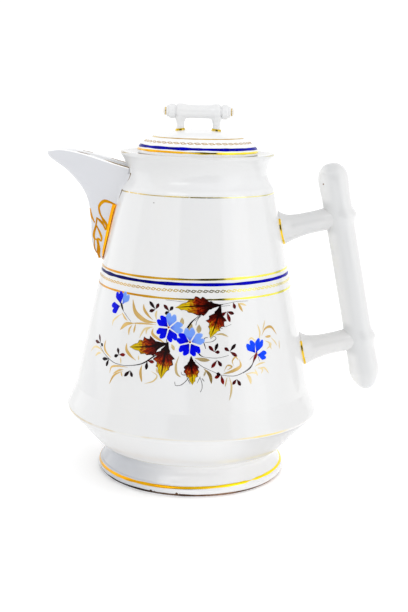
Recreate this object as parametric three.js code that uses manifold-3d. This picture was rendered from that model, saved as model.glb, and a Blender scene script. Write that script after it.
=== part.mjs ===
// A porcelain coffee pot with a beaked spout, a stick handle on two arms and a lift-off lid.
// Millimetres, +Z up. The pot stands on z = 0, the spout points along -X and the handle along +X.
import * as THREE from 'three';
import { mergeVertices } from 'three/addons/utils/BufferGeometryUtils.js';
import Module from 'manifold-3d';

// Foot: a hollow ring with a beaded edge, ground flat below, and a cove above it
const footHeight = 19;
const footRadius = 60;
const footBeadRadius = 4;
const footBeadEnd = 62;
const footGroundDepth = 0.6;
const footCoveRadius = 54;
const footCoveHeight = 14;
const footTopRadius = 57.8;
const footWall = 5.5;

// Lower bowl: a flaring dish with the floor of the pot
const bowlHeight = 22.6;
const bowlOverhang = 2.4;
const bowlEdge = 0.8;
const breakRadius = 80;
const floorThickness = 4.5;
const floorCorner = 5;
const floorArch = 1;
const floorLand = 4;

// Tall cone above the break in the body
const coneHeight = 139.4;
const flareHeight = 15;
const flareRadius = 74.6;
const shoulderRadius = 48.1;
const bodyWall = 4;

// Neck with its cove, rolled lip and the ledge that carries the lid
const neckHeight = 22;
const neckCoveDepth = 3.5;
const neckCoveMargin = 2;
const shoulderEase = 0.8;
const lipOverhang = 0.2;
const lipWidth = 1.6;
const lipRound = 1;
const seatDepth = 1;
const seatMargin = 1.2;
const ledgeThickness = 3.2;
const ledgeSlopeHeight = 5.5;

// Lid: a dome that rests on the ledge, with a flange that keeps it in the throat
const lidInset = 10.2;
const lidRise = 14.5;
const lidWall = 3.3;
const lidEdgeRound = 0.7;
const lidRestGap = 0.3;
const flangeDepth = 9;
const flangeWall = 3;
const flangeInset = 6;
const flangeClearance = 1.3;
const flangeEdge = 0.8;
const flangeGap = 0.4;

// Knob: a turned bar on two posts
const postSpacing = 22.2;
const postFootRadius = 3.4;
const postFootHeight = 0.6;
const postFootTaper = 1.8;
const postWaistRadius = 2.5;
const postTopRadius = 3.5;
const postTopTaper = 2.4;
const knobHeight = 10.8;
const knobLength = 43.2;
const knobMiddleRadius = 4;
const knobRingRadius = 4.7;
const knobRingWidth = 3.6;
const knobRingTaper = 1;
const knobNeckRadius = 3.4;
const knobNeckWidth = 0.5;
const knobBulbRadius = 4.4;
const knobBulbWidth = 2.5;
const knobBulbTaper = 1.4;
const knobButtonRadius = 2.5;
const knobButtonLength = 1.8;
const knobButtonEdge = 0.7;

// Spout: reach is measured out from the shoulder, drop down from the lip of the neck
const spoutReach = 44.8;
const spoutTipDrop = 1.7;
const spoutRootDrop = 76;
const spoutMouthHalfWidth = 16;
const spoutStemHalfWidth = 7.5;
const spoutRootHalfWidth = 4;
const spoutFlareDrop = 16;
const spoutStemDrop = 48;
const spoutWall = 2.9;
const spoutBury = 6;
const spoutNoseSharpness = 1.3;
const spoutNoseRoundness = 1.5;
const rimCrestDrop = 0.6;
const rimMiddleDrop = 2.5;
const rimNeckDrop = 7.5;
const rimRootDrop = 13.3;
const rimRootInset = 18;
const channelFloorDrop = 62;
const strainerTopDrop = 28;
const strainerHole = 4;
const strainerPitch = 6.5;
const strainerRowPitch = 8;

// Handle: a straight stick parallel to the cone, on two arms square to it
const gripStandOff = 38;
const gripTopDrop = 4.8;
const gripBottomDrop = 149;
const gripRadius = 8.9;
const gripTopBulge = 9.4;
const gripBottomBulge = 9.7;
const gripTopDome = 11;
const gripBottomDome = 13;
const gripSwell = 0.3;
const upperKnuckleDrop = 38;
const lowerKnuckleDrop = 115.4;
const upperKnuckleRadius = 11;
const lowerKnuckleRadius = 10.6;
const knuckleWidth = 9;
const armRadius = 6.8;
const armBaseRadius = 10.6;
const armBaseLength = 16;
const armTipLength = 5;
const armTipFlare = 0.7;

// Gap left between curved faces that are luted together
const jointGap = 0.3;

// How far a piece runs into its neighbour before it is cut back to that neighbour's face
const overrun = 4;

// Facets round the body, the lid and the small turned pieces
const bodySegments = 48;
const lidSegments = 40;
const turnedSegments = 20;
const postSegments = 14;
const drillSegments = 10;

// Radii and heights that follow from the sizes above
const bowlBottomRadius = footTopRadius + bowlOverhang;
const neckWaistRadius = shoulderRadius - shoulderEase - neckCoveDepth;
const lipRadius = shoulderRadius - shoulderEase + lipOverhang;
const lidRadius = lipRadius - lidInset;
const breakZ = footHeight + bowlHeight;
const shoulderZ = breakZ + coneHeight;
const lipZ = shoulderZ + neckHeight;
const seatZ = lipZ - seatDepth;
const lidZ = seatZ + lidRestGap;
const lidTopZ = lidZ + lidRise;
const knobZ = lidTopZ + knobHeight;
const flareZ = breakZ + flareHeight;
const coneSlope = (flareRadius - shoulderRadius) / (shoulderZ - flareZ);
const coneTilt = Math.atan(coneSlope);

const wasm = await Module();
wasm.setup();

const point = (radius, z) => new THREE.Vector2(radius, z);

// Points on a circle's arc in the profile plane, from one angle to another in degrees
function arc(centreRadius, centreZ, radius, from, to, steps) {
  const points = [];
  for (let i = 0; i <= steps; i += 1) {
    const angle = THREE.MathUtils.degToRad(from + ((to - from) * i) / steps);
    points.push(point(centreRadius + radius * Math.cos(angle), centreZ + radius * Math.sin(angle)));
  }
  return points;
}

// A smooth curve through profile points
function smooth(points, steps) {
  return new THREE.SplineCurve(points).getPoints(steps);
}

// Radius at a height on a line through points that rise from the first to the last
function radiusOn(outline, z) {
  const above = outline.findIndex((p) => p.y >= z);
  if (above === 0) return outline[0].x;
  if (above < 0) return outline[outline.length - 1].x;
  const low = outline[above - 1];
  const high = outline[above];
  return THREE.MathUtils.mapLinear(z, low.y, high.y, low.x, high.x);
}

// Merges shared vertices, drops triangles that collapsed on the axis and turns the faces outwards
function closed(geometry) {
  const bare = geometry.clone();
  bare.deleteAttribute('normal');
  bare.deleteAttribute('uv');
  const merged = mergeVertices(bare, 1e-4);
  const corners = merged.index.array;
  const position = merged.attributes.position;
  const kept = [];
  const a = new THREE.Vector3();
  const b = new THREE.Vector3();
  const c = new THREE.Vector3();
  let volume = 0;
  for (let i = 0; i < corners.length; i += 3) {
    const [p, q, r] = [corners[i], corners[i + 1], corners[i + 2]];
    if (p !== q && q !== r && r !== p) {
      kept.push(p, q, r);
      a.fromBufferAttribute(position, p);
      b.fromBufferAttribute(position, q);
      c.fromBufferAttribute(position, r);
      volume += a.dot(b.cross(c));
    }
  }
  if (volume < 0) kept.reverse();
  merged.setIndex(kept);
  merged.computeVertexNormals();
  return merged;
}

function toSolid(geometry) {
  const mesh = new wasm.Mesh({
    numProp: 3,
    vertProperties: new Float32Array(geometry.attributes.position.array),
    triVerts: new Uint32Array(geometry.index.array),
  });
  return new wasm.Manifold(mesh);
}

function toGeometry(solid) {
  const mesh = solid.getMesh();
  const geometry = new THREE.BufferGeometry();
  geometry.setAttribute('position', new THREE.BufferAttribute(mesh.vertProperties, 3));
  geometry.setIndex(new THREE.BufferAttribute(mesh.triVerts, 1));
  geometry.computeVertexNormals();
  return geometry;
}

// Cuts the tool geometries out of a piece
function cut(geometry, ...tools) {
  let solid = toSolid(geometry);
  for (const tool of tools) solid = solid.subtract(toSolid(tool));
  return toGeometry(solid);
}

// A turned piece about +Z. Its profile closes on itself or starts and ends on the axis.
function turned(profile, segments) {
  const geometry = new THREE.LatheGeometry(profile, segments);
  geometry.rotateX(Math.PI / 2);
  return closed(geometry);
}

const ringOf = (profile) => [...profile, profile[0].clone()];

// The body's outer profile, from the break to the lip, is shared by the pieces and by what is cut to fit it
const coneOuter = [
  point(breakRadius, breakZ),
  point(flareRadius, flareZ),
  point(shoulderRadius, shoulderZ),
];

const coveHalfHeight = neckHeight / 2 - neckCoveMargin;
const coveRadius = (coveHalfHeight ** 2 + neckCoveDepth ** 2) / (2 * neckCoveDepth);
const coveZ = shoulderZ + neckHeight / 2;
const coveAngle = THREE.MathUtils.radToDeg(Math.asin(coveHalfHeight / coveRadius));

function coveProfile(wall, steps) {
  const radius = coveRadius + wall;
  return arc(neckWaistRadius + coveRadius, coveZ, radius, 180 + coveAngle, 180 - coveAngle, steps);
}

const neckOuter = [
  point(shoulderRadius, shoulderZ),
  ...coveProfile(0, 8),
  point(lipRadius, lipZ - lipRound),
  point(lipRadius - lipRound, lipZ),
];

const bodyOuter = [...coneOuter, ...neckOuter.slice(1)];
const bodyRadiusAt = (z) => radiusOn(bodyOuter, z);

// Radius of the cone's line carried on above the shoulder and below the flare
const coneLineAt = (z) => shoulderRadius + (shoulderZ - z) * coneSlope;

// The body as one solid plug, grown by a gap, to cut whatever is luted on to it
function bodyPlug(gap) {
  const outline = bodyOuter.map((p) => point(p.x + gap, p.y));
  return turned([point(0, breakZ), ...outline, point(0, lipZ)], bodySegments);
}

function footRing() {
  const beadZ = footBeadRadius - footGroundDepth;
  const landAngle = THREE.MathUtils.radToDeg(Math.asin(beadZ / footBeadRadius));
  const bead = arc(footRadius - footBeadRadius, beadZ, footBeadRadius, -landAngle, footBeadEnd, 6);
  const cove = smooth(
    [bead[bead.length - 1], point(footCoveRadius, footCoveHeight), point(footTopRadius, footHeight)],
    7,
  );
  const hollow = [
    point(footTopRadius - footWall, footHeight),
    point(footCoveRadius - footWall, footCoveHeight),
    point(bead[0].x - footWall, 0),
  ];
  return turned(ringOf([...bead, ...cove.slice(1), ...hollow]), bodySegments);
}

function lowerBowl() {
  const wallFoot = point(bowlBottomRadius, footHeight + bowlEdge);
  const wallTop = point(breakRadius, breakZ);
  const slope = (wallTop.x - wallFoot.x) / (wallTop.y - wallFoot.y);
  const inset = bodyWall * Math.hypot(1, slope);
  const insideAt = (z) => point(wallTop.x - (wallTop.y - z) * slope - inset, z);
  const floorZ = footHeight + floorThickness;
  const corner = new THREE.QuadraticBezierCurve(
    insideAt(floorZ + floorCorner / 2),
    insideAt(floorZ),
    point(insideAt(floorZ).x - floorCorner, floorZ),
  );
  const profile = [
    point(0, footHeight + floorArch),
    point(footTopRadius - footWall - floorLand, footHeight),
    point(footTopRadius, footHeight),
    wallFoot,
    wallTop,
    point(breakRadius - bodyWall, breakZ),
    insideAt(breakZ - bodyWall),
    ...corner.getPoints(3),
    point(0, floorZ),
  ];
  return turned(profile, bodySegments);
}

// The strainer's holes, drilled through the wall where the spout's channel lies against it
function strainerHoles() {
  const holes = [];
  for (let drop = strainerTopDrop; drop < channelFloorDrop - strainerRowPitch; drop += strainerRowPitch) {
    const z = lipZ - drop;
    const room = 2 * (spoutHalfWidth(drop) - spoutWall) - strainerHole;
    const count = Math.max(1, Math.floor(room / strainerPitch) + 1);
    for (let i = 0; i < count; i += 1) {
      const radius = strainerHole / 2;
      const drill = new THREE.CylinderGeometry(radius, radius, bodyWall + 2 * overrun, drillSegments);
      drill.rotateZ(Math.PI / 2);
      drill.translate(bodyWall / 2 - bodyRadiusAt(z), (i - (count - 1) / 2) * strainerPitch, z);
      holes.push(closed(drill));
    }
  }
  return holes;
}

function bodyCone() {
  const across = bodyWall / Math.cos(coneTilt);
  const profile = [
    ...coneOuter,
    point(shoulderRadius - bodyWall, shoulderZ),
    point(flareRadius - across, flareZ),
    point(breakRadius - bodyWall, breakZ),
  ];
  return cut(turned(ringOf(profile), bodySegments), ...strainerHoles());
}

function neckCollar() {
  const throatRadius = lidRadius - flangeInset + flangeClearance;
  const ledgeZ = seatZ - ledgeThickness;
  const slopeZ = ledgeZ - ledgeSlopeHeight;
  const inside = coveProfile(bodyWall, 8)
    .filter((p) => p.y > shoulderZ + shoulderEase && p.y <= slopeZ)
    .reverse();
  const profile = [
    ...neckOuter,
    point(lipRadius - lipRound - lipWidth, lipZ),
    point(lidRadius + seatMargin, seatZ),
    point(throatRadius, seatZ),
    point(throatRadius, ledgeZ),
    ...inside,
    point(shoulderRadius - bodyWall, shoulderZ),
  ];
  return turned(ringOf(profile), bodySegments);
}

// The keel is the spout's underside in the plane y = 0. Its radius is given by a share of the reach
// past the shoulder, and its height by a share of the drop from the tip to the root.
function keelPoint(reachShare, dropShare) {
  const drop = THREE.MathUtils.lerp(spoutTipDrop, spoutRootDrop, dropShare);
  return point(shoulderRadius + spoutReach * reachShare, lipZ - drop);
}

const keelCurve = new THREE.SplineCurve([
  keelPoint(0.1, 1),
  keelPoint(0.365, 0.79),
  keelPoint(0.4, 0.57),
  keelPoint(0.465, 0.358),
  keelPoint(0.69, 0.174),
  keelPoint(0.965, 0.05),
  keelPoint(1, 0),
]);
const keel = keelCurve.getPoints(80);

// The channel's underside keeps the wall's thickness to the keel all along
function channelRadiusAt(z) {
  const level = Math.min(z, lipZ - spoutTipDrop);
  const near = keel.filter((p) => Math.abs(p.y - level) < spoutWall);
  return Math.min(...near.map((p) => p.x - Math.sqrt(spoutWall ** 2 - (p.y - level) ** 2)));
}

function spoutHalfWidth(drop) {
  const share = THREE.MathUtils.smoothstep(drop, spoutFlareDrop, spoutStemDrop);
  const flared = THREE.MathUtils.lerp(spoutMouthHalfWidth, spoutStemHalfWidth, share);
  const taper = Math.max(0, drop - spoutStemDrop) / (spoutRootDrop - spoutStemDrop);
  return flared - (spoutStemHalfWidth - spoutRootHalfWidth) * taper;
}

// A closed stack of level sections. Each section runs from the wall out to the nose and back.
function spoutStack(fromZ, toZ, levels, halfWidthAt, radiusAt) {
  const side = 8;
  const ring = 2 * side + 1;
  const places = [];
  for (let level = 0; level <= levels; level += 1) {
    const z = THREE.MathUtils.lerp(fromZ, toZ, level / levels);
    const start = bodyRadiusAt(z) - spoutBury;
    const length = Math.max(jointGap, radiusAt(z) - start);
    for (let i = -side; i <= side; i += 1) {
      const out = Math.cos((Math.abs(i) / side) * (Math.PI / 2));
      const width = halfWidthAt(z) * (1 - out ** spoutNoseSharpness) ** (1 / spoutNoseRoundness);
      places.push(-(start + length * out), -Math.sign(i) * width, z);
    }
  }
  const corners = [];
  for (let level = 0; level < levels; level += 1) {
    for (let i = 0; i < ring; i += 1) {
      const a = level * ring + i;
      const b = level * ring + ((i + 1) % ring);
      corners.push(a, b, b + ring, a, b + ring, a + ring);
    }
  }
  const top = levels * ring;
  for (let i = 1; i < ring - 1; i += 1) {
    corners.push(0, i + 1, i);
    corners.push(top, top + i, top + i + 1);
  }
  const geometry = new THREE.BufferGeometry();
  geometry.setAttribute('position', new THREE.Float32BufferAttribute(places, 3));
  geometry.setIndex(corners);
  return closed(geometry);
}

// Everything over the spout's rim line, as a slab that is cut away
function aboveRim() {
  const near = shoulderRadius - rimRootInset;
  const tip = shoulderRadius + spoutReach;
  const far = tip + rimRootInset;
  const rim = smooth(
    [
      point(near, lipZ - rimRootDrop),
      point(shoulderRadius + spoutReach * 0.1, lipZ - rimNeckDrop),
      point(shoulderRadius + spoutReach * 0.5, lipZ - rimMiddleDrop),
      point(shoulderRadius + spoutReach * 0.8, lipZ - rimCrestDrop),
      point(tip, lipZ - spoutTipDrop),
      point(far, lipZ - spoutTipDrop - rimCrestDrop),
    ],
    16,
  );
  const topZ = lipZ + 2 * overrun;
  const outline = new THREE.Shape([...rim, point(far, topZ), point(near, topZ)]);
  const depth = 4 * spoutMouthHalfWidth;
  const slab = new THREE.ExtrudeGeometry(outline, { depth, bevelEnabled: false });
  slab.translate(0, 0, -depth / 2);
  slab.rotateX(Math.PI / 2);
  slab.scale(-1, 1, 1);
  return closed(slab);
}

function spout() {
  const rootZ = lipZ - spoutRootDrop;
  const floorZ = lipZ - channelFloorDrop;
  const topZ = lipZ + overrun;
  const halfWidthAt = (z) => spoutHalfWidth(lipZ - z);
  const channelHalfWidthAt = (z) => halfWidthAt(z) - spoutWall;
  const outer = spoutStack(rootZ, topZ, 26, halfWidthAt, (z) => radiusOn(keel, z));
  const channel = spoutStack(floorZ, topZ + overrun, 20, channelHalfWidthAt, channelRadiusAt);
  return cut(outer, channel, aboveRim(), bodyPlug(jointGap));
}

// Places a piece turned about +Z so that its +Z runs from one point of the plane y = 0 to another
function lay(geometry, from, to) {
  const along = new THREE.Vector3().subVectors(to, from).normalize();
  const turn = new THREE.Quaternion().setFromUnitVectors(new THREE.Vector3(0, 0, 1), along);
  geometry.applyQuaternion(turn);
  geometry.translate(from.x, from.y, from.z);
  return geometry;
}

const gripPoint = (drop) => new THREE.Vector3(coneLineAt(lipZ - drop) + gripStandOff, 0, lipZ - drop);

// A dome's outline from its rim to its tip on the axis
function dome(radius, rimAt, tipAt, steps) {
  return arc(0, 0, 1, 0, 90, steps).map((p) => point(p.x * radius, rimAt + p.y * (tipAt - rimAt)));
}

// Puts an outline's end points on the axis and moves the rest out by a gap
const grow = (outline, gap) => outline.map((p) => point(p.x > 1e-6 ? p.x + gap : 0, p.y));

// The stick's outline along its axis, from its lower end up
function gripProfile() {
  const along = (drop) => (gripBottomDrop - drop) / Math.cos(coneTilt);
  const length = along(gripTopDrop);
  const lower = along(lowerKnuckleDrop);
  const upper = along(upperKnuckleDrop);
  const half = knuckleWidth / 2;
  const crown = knuckleWidth / 6;
  return [
    ...dome(gripBottomBulge, gripBottomDome, 0, 5).reverse(),
    point(gripRadius + gripSwell, lower - half),
    point(lowerKnuckleRadius, lower - crown),
    point(lowerKnuckleRadius, lower + crown),
    point(gripRadius, lower + half),
    point(gripRadius, upper - half),
    point(upperKnuckleRadius, upper - crown),
    point(upperKnuckleRadius, upper + crown),
    point(gripRadius + gripSwell, upper + half),
    ...dome(gripTopBulge, length - gripTopDome, length, 5),
  ];
}

function grip(gap) {
  const stick = turned(grow(gripProfile(), gap), turnedSegments);
  return lay(stick, gripPoint(gripBottomDrop), gripPoint(gripTopDrop));
}

// An arm runs square to the cone, from inside the body to inside the stick, and is cut back to both
function handleArm(knuckleDrop) {
  const end = gripPoint(knuckleDrop);
  const square = new THREE.Vector3(-Math.cos(coneTilt), 0, -Math.sin(coneTilt));
  const reach = gripStandOff * Math.cos(coneTilt);
  const start = end.clone().addScaledVector(square, reach + overrun);
  const axis = reach + overrun;
  const flare = new THREE.QuadraticBezierCurve(
    point(armBaseRadius, overrun),
    point(armRadius, overrun + armBaseLength / 4),
    point(armRadius, overrun + armBaseLength),
  );
  const profile = [
    point(0, 0),
    point(armBaseRadius, 0),
    ...flare.getPoints(5),
    point(armRadius, axis - gripRadius - armTipLength),
    point(armRadius + armTipFlare, axis - gripRadius),
    point(armRadius + armTipFlare, axis),
    point(0, axis),
  ];
  return cut(lay(turned(profile, turnedSegments), start, end), bodyPlug(jointGap), grip(jointGap));
}

// The dome of the lid: an ellipse cut off just inside its widest place
const domeAxis = lidRadius + lidEdgeRound;

function domePoint(axis, rise, radius) {
  return point(radius, lidZ + rise * Math.sqrt(Math.max(0, 1 - (radius / axis) ** 2)));
}

// The dome's outline from an edge radius in to the axis
function domeProfile(axis, rise, edge, steps) {
  const last = Math.asin(edge / axis);
  const points = [];
  for (let i = steps; i >= 0; i -= 1) {
    points.push(domePoint(axis, rise, axis * Math.sin((last * i) / steps)));
  }
  return points;
}

function lidDome() {
  const hollow = lidRadius - lidWall;
  const outer = domeProfile(domeAxis, lidRise, lidRadius, 9);
  const inner = domeProfile(hollow, lidRise - lidWall, hollow, 9).reverse();
  const edge = [point(lidRadius - lidEdgeRound, lidZ), point(lidRadius, lidZ + lidEdgeRound)];
  return turned([...inner, ...edge, ...outer], lidSegments);
}

function lidFlange() {
  const outside = lidRadius - flangeInset;
  const inside = outside - flangeWall;
  const hollow = lidWall + flangeGap;
  const underside = (radius) => domePoint(lidRadius - hollow, lidRise - hollow, radius);
  const profile = [
    point(inside, lidZ - flangeDepth),
    point(outside - flangeEdge, lidZ - flangeDepth),
    point(outside, lidZ - flangeDepth + flangeEdge),
    underside(outside),
    underside((outside + inside) / 2),
    underside(inside),
  ];
  return turned(ringOf(profile), lidSegments);
}

// The knob's bar, turned about X, is the same at both ends
function knobBar(gap) {
  const end = knobLength / 2;
  const ringStart = (postSpacing - knobRingWidth) / 2;
  const ringEnd = ringStart + knobRingWidth;
  const bulbStart = ringEnd + knobNeckWidth + knobBulbTaper;
  const bulbEnd = bulbStart + knobBulbWidth;
  const right = [
    point(knobMiddleRadius, 0),
    point(knobMiddleRadius, ringStart - knobRingTaper),
    point(knobRingRadius, ringStart + knobRingTaper / 2),
    point(knobRingRadius, ringEnd - knobRingTaper / 2),
    point(knobNeckRadius, ringEnd + knobNeckWidth),
    point(knobBulbRadius, bulbStart),
    point(knobBulbRadius, bulbEnd),
    point(knobNeckRadius, bulbEnd + knobBulbTaper),
    point(knobButtonRadius - knobButtonEdge, end - knobButtonLength),
    point(knobButtonRadius, end - knobButtonLength + knobButtonEdge),
    point(knobButtonRadius - knobButtonEdge, end),
    point(0, end),
  ];
  const left = right
    .slice(1)
    .map((p) => point(p.x, -p.y))
    .reverse();
  const bar = turned(grow([...left, ...right], gap), turnedSegments);
  bar.rotateY(Math.PI / 2);
  bar.translate(0, 0, knobZ);
  return bar;
}

// A post runs from inside the dome to inside the bar, and is cut back to both
function knobPost(side) {
  const standZ = domePoint(domeAxis, lidRise, postSpacing / 2).y;
  const headZ = knobZ - knobRingRadius;
  const profile = [
    point(0, standZ - lidWall),
    point(postFootRadius, standZ - lidWall),
    point(postFootRadius, standZ + postFootHeight),
    point(postWaistRadius, standZ + postFootHeight + postFootTaper),
    point(postWaistRadius, headZ + jointGap - postTopTaper),
    point(postTopRadius, headZ + jointGap),
    point(0, knobZ),
  ];
  const post = turned(profile, postSegments);
  post.translate((side * postSpacing) / 2, 0, 0);
  const plugProfile = [point(0, lidZ), ...domeProfile(domeAxis, lidRise, lidRadius, 9)];
  const lidPlug = turned(plugProfile, lidSegments);
  lidPlug.translate(0, 0, jointGap);
  return cut(post, lidPlug, knobBar(jointGap));
}

const porcelain = { color: 0xf0f0ee, roughness: 0.12, metalness: 0 };

function piece(name, geometry) {
  const mesh = new THREE.Mesh(geometry, new THREE.MeshStandardMaterial(porcelain));
  mesh.name = name;
  return mesh;
}

const pot = new THREE.Group();
pot.add(piece('foot_ring', footRing()));
pot.add(piece('lower_bowl', lowerBowl()));
pot.add(piece('body_cone', bodyCone()));
pot.add(piece('neck_collar', neckCollar()));
pot.add(piece('spout', spout()));
pot.add(piece('handle_grip', grip(0)));
pot.add(piece('handle_upper_arm', handleArm(upperKnuckleDrop)));
pot.add(piece('handle_lower_arm', handleArm(lowerKnuckleDrop)));

const lid = new THREE.Group();
lid.add(piece('lid_dome', lidDome()));
lid.add(piece('lid_flange', lidFlange()));
lid.add(piece('knob_post_left', knobPost(-1)));
lid.add(piece('knob_post_right', knobPost(1)));
lid.add(piece('knob_bar', knobBar(0)));

const coffeePot = new THREE.Group();
coffeePot.add(pot, lid);

// The origin is the middle of the whole outline on the surface that the pot stands on
const outline = new THREE.Box3().setFromObject(coffeePot);
coffeePot.position.x = -(outline.min.x + outline.max.x) / 2;

export default coffeePot;
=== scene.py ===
# A porcelain coffee pot with gilding, blue bands and a painted spray of flowers.
# Shapes are in millimetres from the pot's own axis and the surface it stands on, and to_row
# turns them into metres in the frame. Materials, light and camera are in metres.
import math
import random

import bmesh
import bpy
from mathutils import Matrix, Vector, noise


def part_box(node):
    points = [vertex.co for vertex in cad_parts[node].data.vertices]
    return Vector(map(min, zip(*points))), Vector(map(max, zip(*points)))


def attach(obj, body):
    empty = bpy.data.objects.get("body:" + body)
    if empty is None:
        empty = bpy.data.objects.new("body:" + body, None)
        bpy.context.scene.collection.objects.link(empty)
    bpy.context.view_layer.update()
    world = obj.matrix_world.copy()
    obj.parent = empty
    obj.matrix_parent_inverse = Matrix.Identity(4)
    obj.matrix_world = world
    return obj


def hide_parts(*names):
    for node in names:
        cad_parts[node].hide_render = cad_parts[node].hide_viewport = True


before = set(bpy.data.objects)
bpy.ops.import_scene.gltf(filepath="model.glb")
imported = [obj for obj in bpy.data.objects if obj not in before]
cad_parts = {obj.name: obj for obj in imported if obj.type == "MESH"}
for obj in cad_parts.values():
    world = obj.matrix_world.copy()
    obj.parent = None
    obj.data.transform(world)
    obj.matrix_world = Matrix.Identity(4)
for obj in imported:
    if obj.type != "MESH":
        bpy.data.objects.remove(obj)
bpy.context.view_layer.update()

MM = 0.001


def span(node):
    """The lowest and highest corner of a node, in millimetres in the frame."""
    low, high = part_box(node)
    return low / MM, high / MM


def half_width(node):
    low, high = span(node)
    return (high.y - low.y) / 2


# Sizes that the frame gives
lid_low, lid_high = span("lid_dome")
pot_axis = (lid_low.x + lid_high.x) / 2
foot_radius = half_width("foot_ring")
waist_z = span("foot_ring")[1].z
break_radius = half_width("lower_bowl")
break_z = span("lower_bowl")[1].z
shoulder_radius = half_width("neck_collar")
shoulder_z = span("body_cone")[1].z
lip_z = span("neck_collar")[1].z
lid_radius = half_width("lid_dome")
lid_z = lid_low.z
lid_top_z = lid_high.z
spout_reach = pot_axis - span("spout")[0].x - shoulder_radius
knob_low, knob_high = span("knob_bar")
knob_z = (knob_low.z + knob_high.z) / 2
knob_end = (knob_high.x - knob_low.x) / 2
post_low, post_high = span("knob_post_right")
post_x = (post_low.x + post_high.x) / 2 - pot_axis

# Walls and curves of the body
body_wall = 4.0
foot_wall = 5.5
foot_top_radius = 57.8
foot_bead = 4.0
foot_ground = 0.6
bead_centre = (foot_radius - foot_bead, foot_bead - foot_ground)
cove_radius = 54.0
cove_z = 14.0
bowl_edge = (foot_top_radius + 2.4, waist_z + 0.8)
flare_z = break_z + 15.0
flare_radius = 74.6
neck_waist_radius = 43.8
lip_radius = 47.5
seat_radius = 38.5
throat_radius = 32.6
seat_z = lip_z - 1.0
ledge_z = seat_z - 3.2
cone_slope = (flare_radius - shoulder_radius) / (shoulder_z - flare_z)
cone_tilt = math.atan(cone_slope)

# The lid's dome is an ellipse that is cut off just inside its widest place
lid_rise = lid_top_z - lid_z
lid_wall = 3.3
dome_axis = lid_radius + 0.7

# How far the handle's stick stands off from the cone, and its knuckles below the lip
grip_stand_off = 38.0
KNUCKLES = (("upper", 38.0), ("lower", 115.4))

# Painted lines: heights on the cone and radii on the lid
upper_line_z = 133.35
blue_band_z = 130.55
chain_z = 126.8
lower_line_z = 122.1
shoulder_line_z = 179.8
lid_band_radius = 36.2
lid_chain_radius = 32.6
lid_line_radius = 27.7

# Facets round the pot, round small turned pieces and round a painted band
BODY_FACETS = 224
SMALL_FACETS = 64
BAND_FACETS = 288

# The two sides of the spout and the two ends of the knob
SIDES = ((-1, "near"), (1, "far"))
ENDS = ((-1, "left"), (1, "right"))


def to_row(place):
    return ((pot_axis + place[0]) * MM, place[1] * MM, place[2] * MM)


def lerp(a, b, share):
    return a + (b - a) * share


def smoothstep(x, low, high):
    share = min(1.0, max(0.0, (x - low) / (high - low)))
    return share * share * (3 - 2 * share)


def spline(points, steps):
    """Catmull-Rom curve through points of any dimension."""
    made = []
    last = len(points) - 1
    for i in range(steps + 1):
        place = i / steps * last
        k = min(int(place), last - 1)
        t = place - k
        p0 = points[max(k - 1, 0)]
        p1 = points[k]
        p2 = points[k + 1]
        p3 = points[min(k + 2, last)]
        row = []
        for a, b, c, d in zip(p0, p1, p2, p3):
            v0 = (c - a) / 2
            v1 = (d - b) / 2
            cubic = 2 * b - 2 * c + v0 + v1
            square = -3 * b + 3 * c - 2 * v0 - v1
            row.append(cubic * t**3 + square * t * t + v0 * t + b)
        made.append(tuple(row))
    return made


def arc(centre, radius, start, end, steps):
    """Points of a circle in the outline plane, with angles in degrees."""
    made = []
    for i in range(steps + 1):
        angle = math.radians(lerp(start, end, i / steps))
        made.append((centre[0] + radius * math.cos(angle), centre[1] + radius * math.sin(angle)))
    return made


def bend(start, corner, end, t):
    """A place on the curve that leaves start towards the corner and arrives at end from it."""
    return start * (1 - t) ** 2 + corner * 2 * t * (1 - t) + end * t * t


def rounded(corners, steps=6):
    """A closed outline through (radius, height, rounding) corners."""
    made = []
    for i, (r, z, rounding) in enumerate(corners):
        if rounding == 0:
            made.append((r, z))
            continue
        here = Vector((r, z))
        before = Vector(corners[i - 1][:2]) - here
        after = Vector(corners[(i + 1) % len(corners)][:2]) - here
        start = here + before.normalized() * min(rounding, before.length * 0.49)
        end = here + after.normalized() * min(rounding, after.length * 0.49)
        made += [tuple(bend(start, here, end, k / steps)) for k in range(steps + 1)]
    return made


def meet(low, high, steps, short):
    """Closes in from both ends on the place where short stops being true."""
    for _ in range(steps):
        middle = (low + high) / 2
        if short(middle):
            low = middle
        else:
            high = middle
    return low, high


def supported(outline):
    """Adds points to long straight stretches, so that smooth shading stays flat along them."""
    reach = 0.35
    longest = 4.0
    made = []
    for i, (r, z) in enumerate(outline):
        end_r, end_z = outline[(i + 1) % len(outline)]
        made.append((r, z))
        length = math.hypot(end_r - r, end_z - z)
        if length < 4 * reach or (r < 1e-6 and end_r < 1e-6):
            continue
        count = max(1, round(length / longest))
        shares = [reach / length, *[k / count for k in range(1, count)], 1 - reach / length]
        made += [(lerp(r, end_r, s), lerp(z, end_z, s)) for s in shares]
    return made


def add_piece(name, shape, material, body="pot", slot="gilding", stands_for=(), sharp=50):
    """A closed mesh, given as vertices in millimetres and faces, that rides on a body."""
    vertices, faces = shape
    mesh = bpy.data.meshes.new(name)
    mesh.from_pydata([to_row(v) for v in vertices], [], faces)
    work = bmesh.new()
    work.from_mesh(mesh)
    bmesh.ops.recalc_face_normals(work, faces=work.faces)
    work.to_mesh(mesh)
    work.free()
    mesh.polygons.foreach_set("use_smooth", [True] * len(mesh.polygons))
    mesh.set_sharp_from_angle(angle=math.radians(sharp))
    mesh.materials.append(material)
    piece = bpy.data.objects.new(name, mesh)
    bpy.context.scene.collection.objects.link(piece)
    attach(piece, body)
    if stands_for:
        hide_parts(*stands_for)
    return piece


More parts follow.
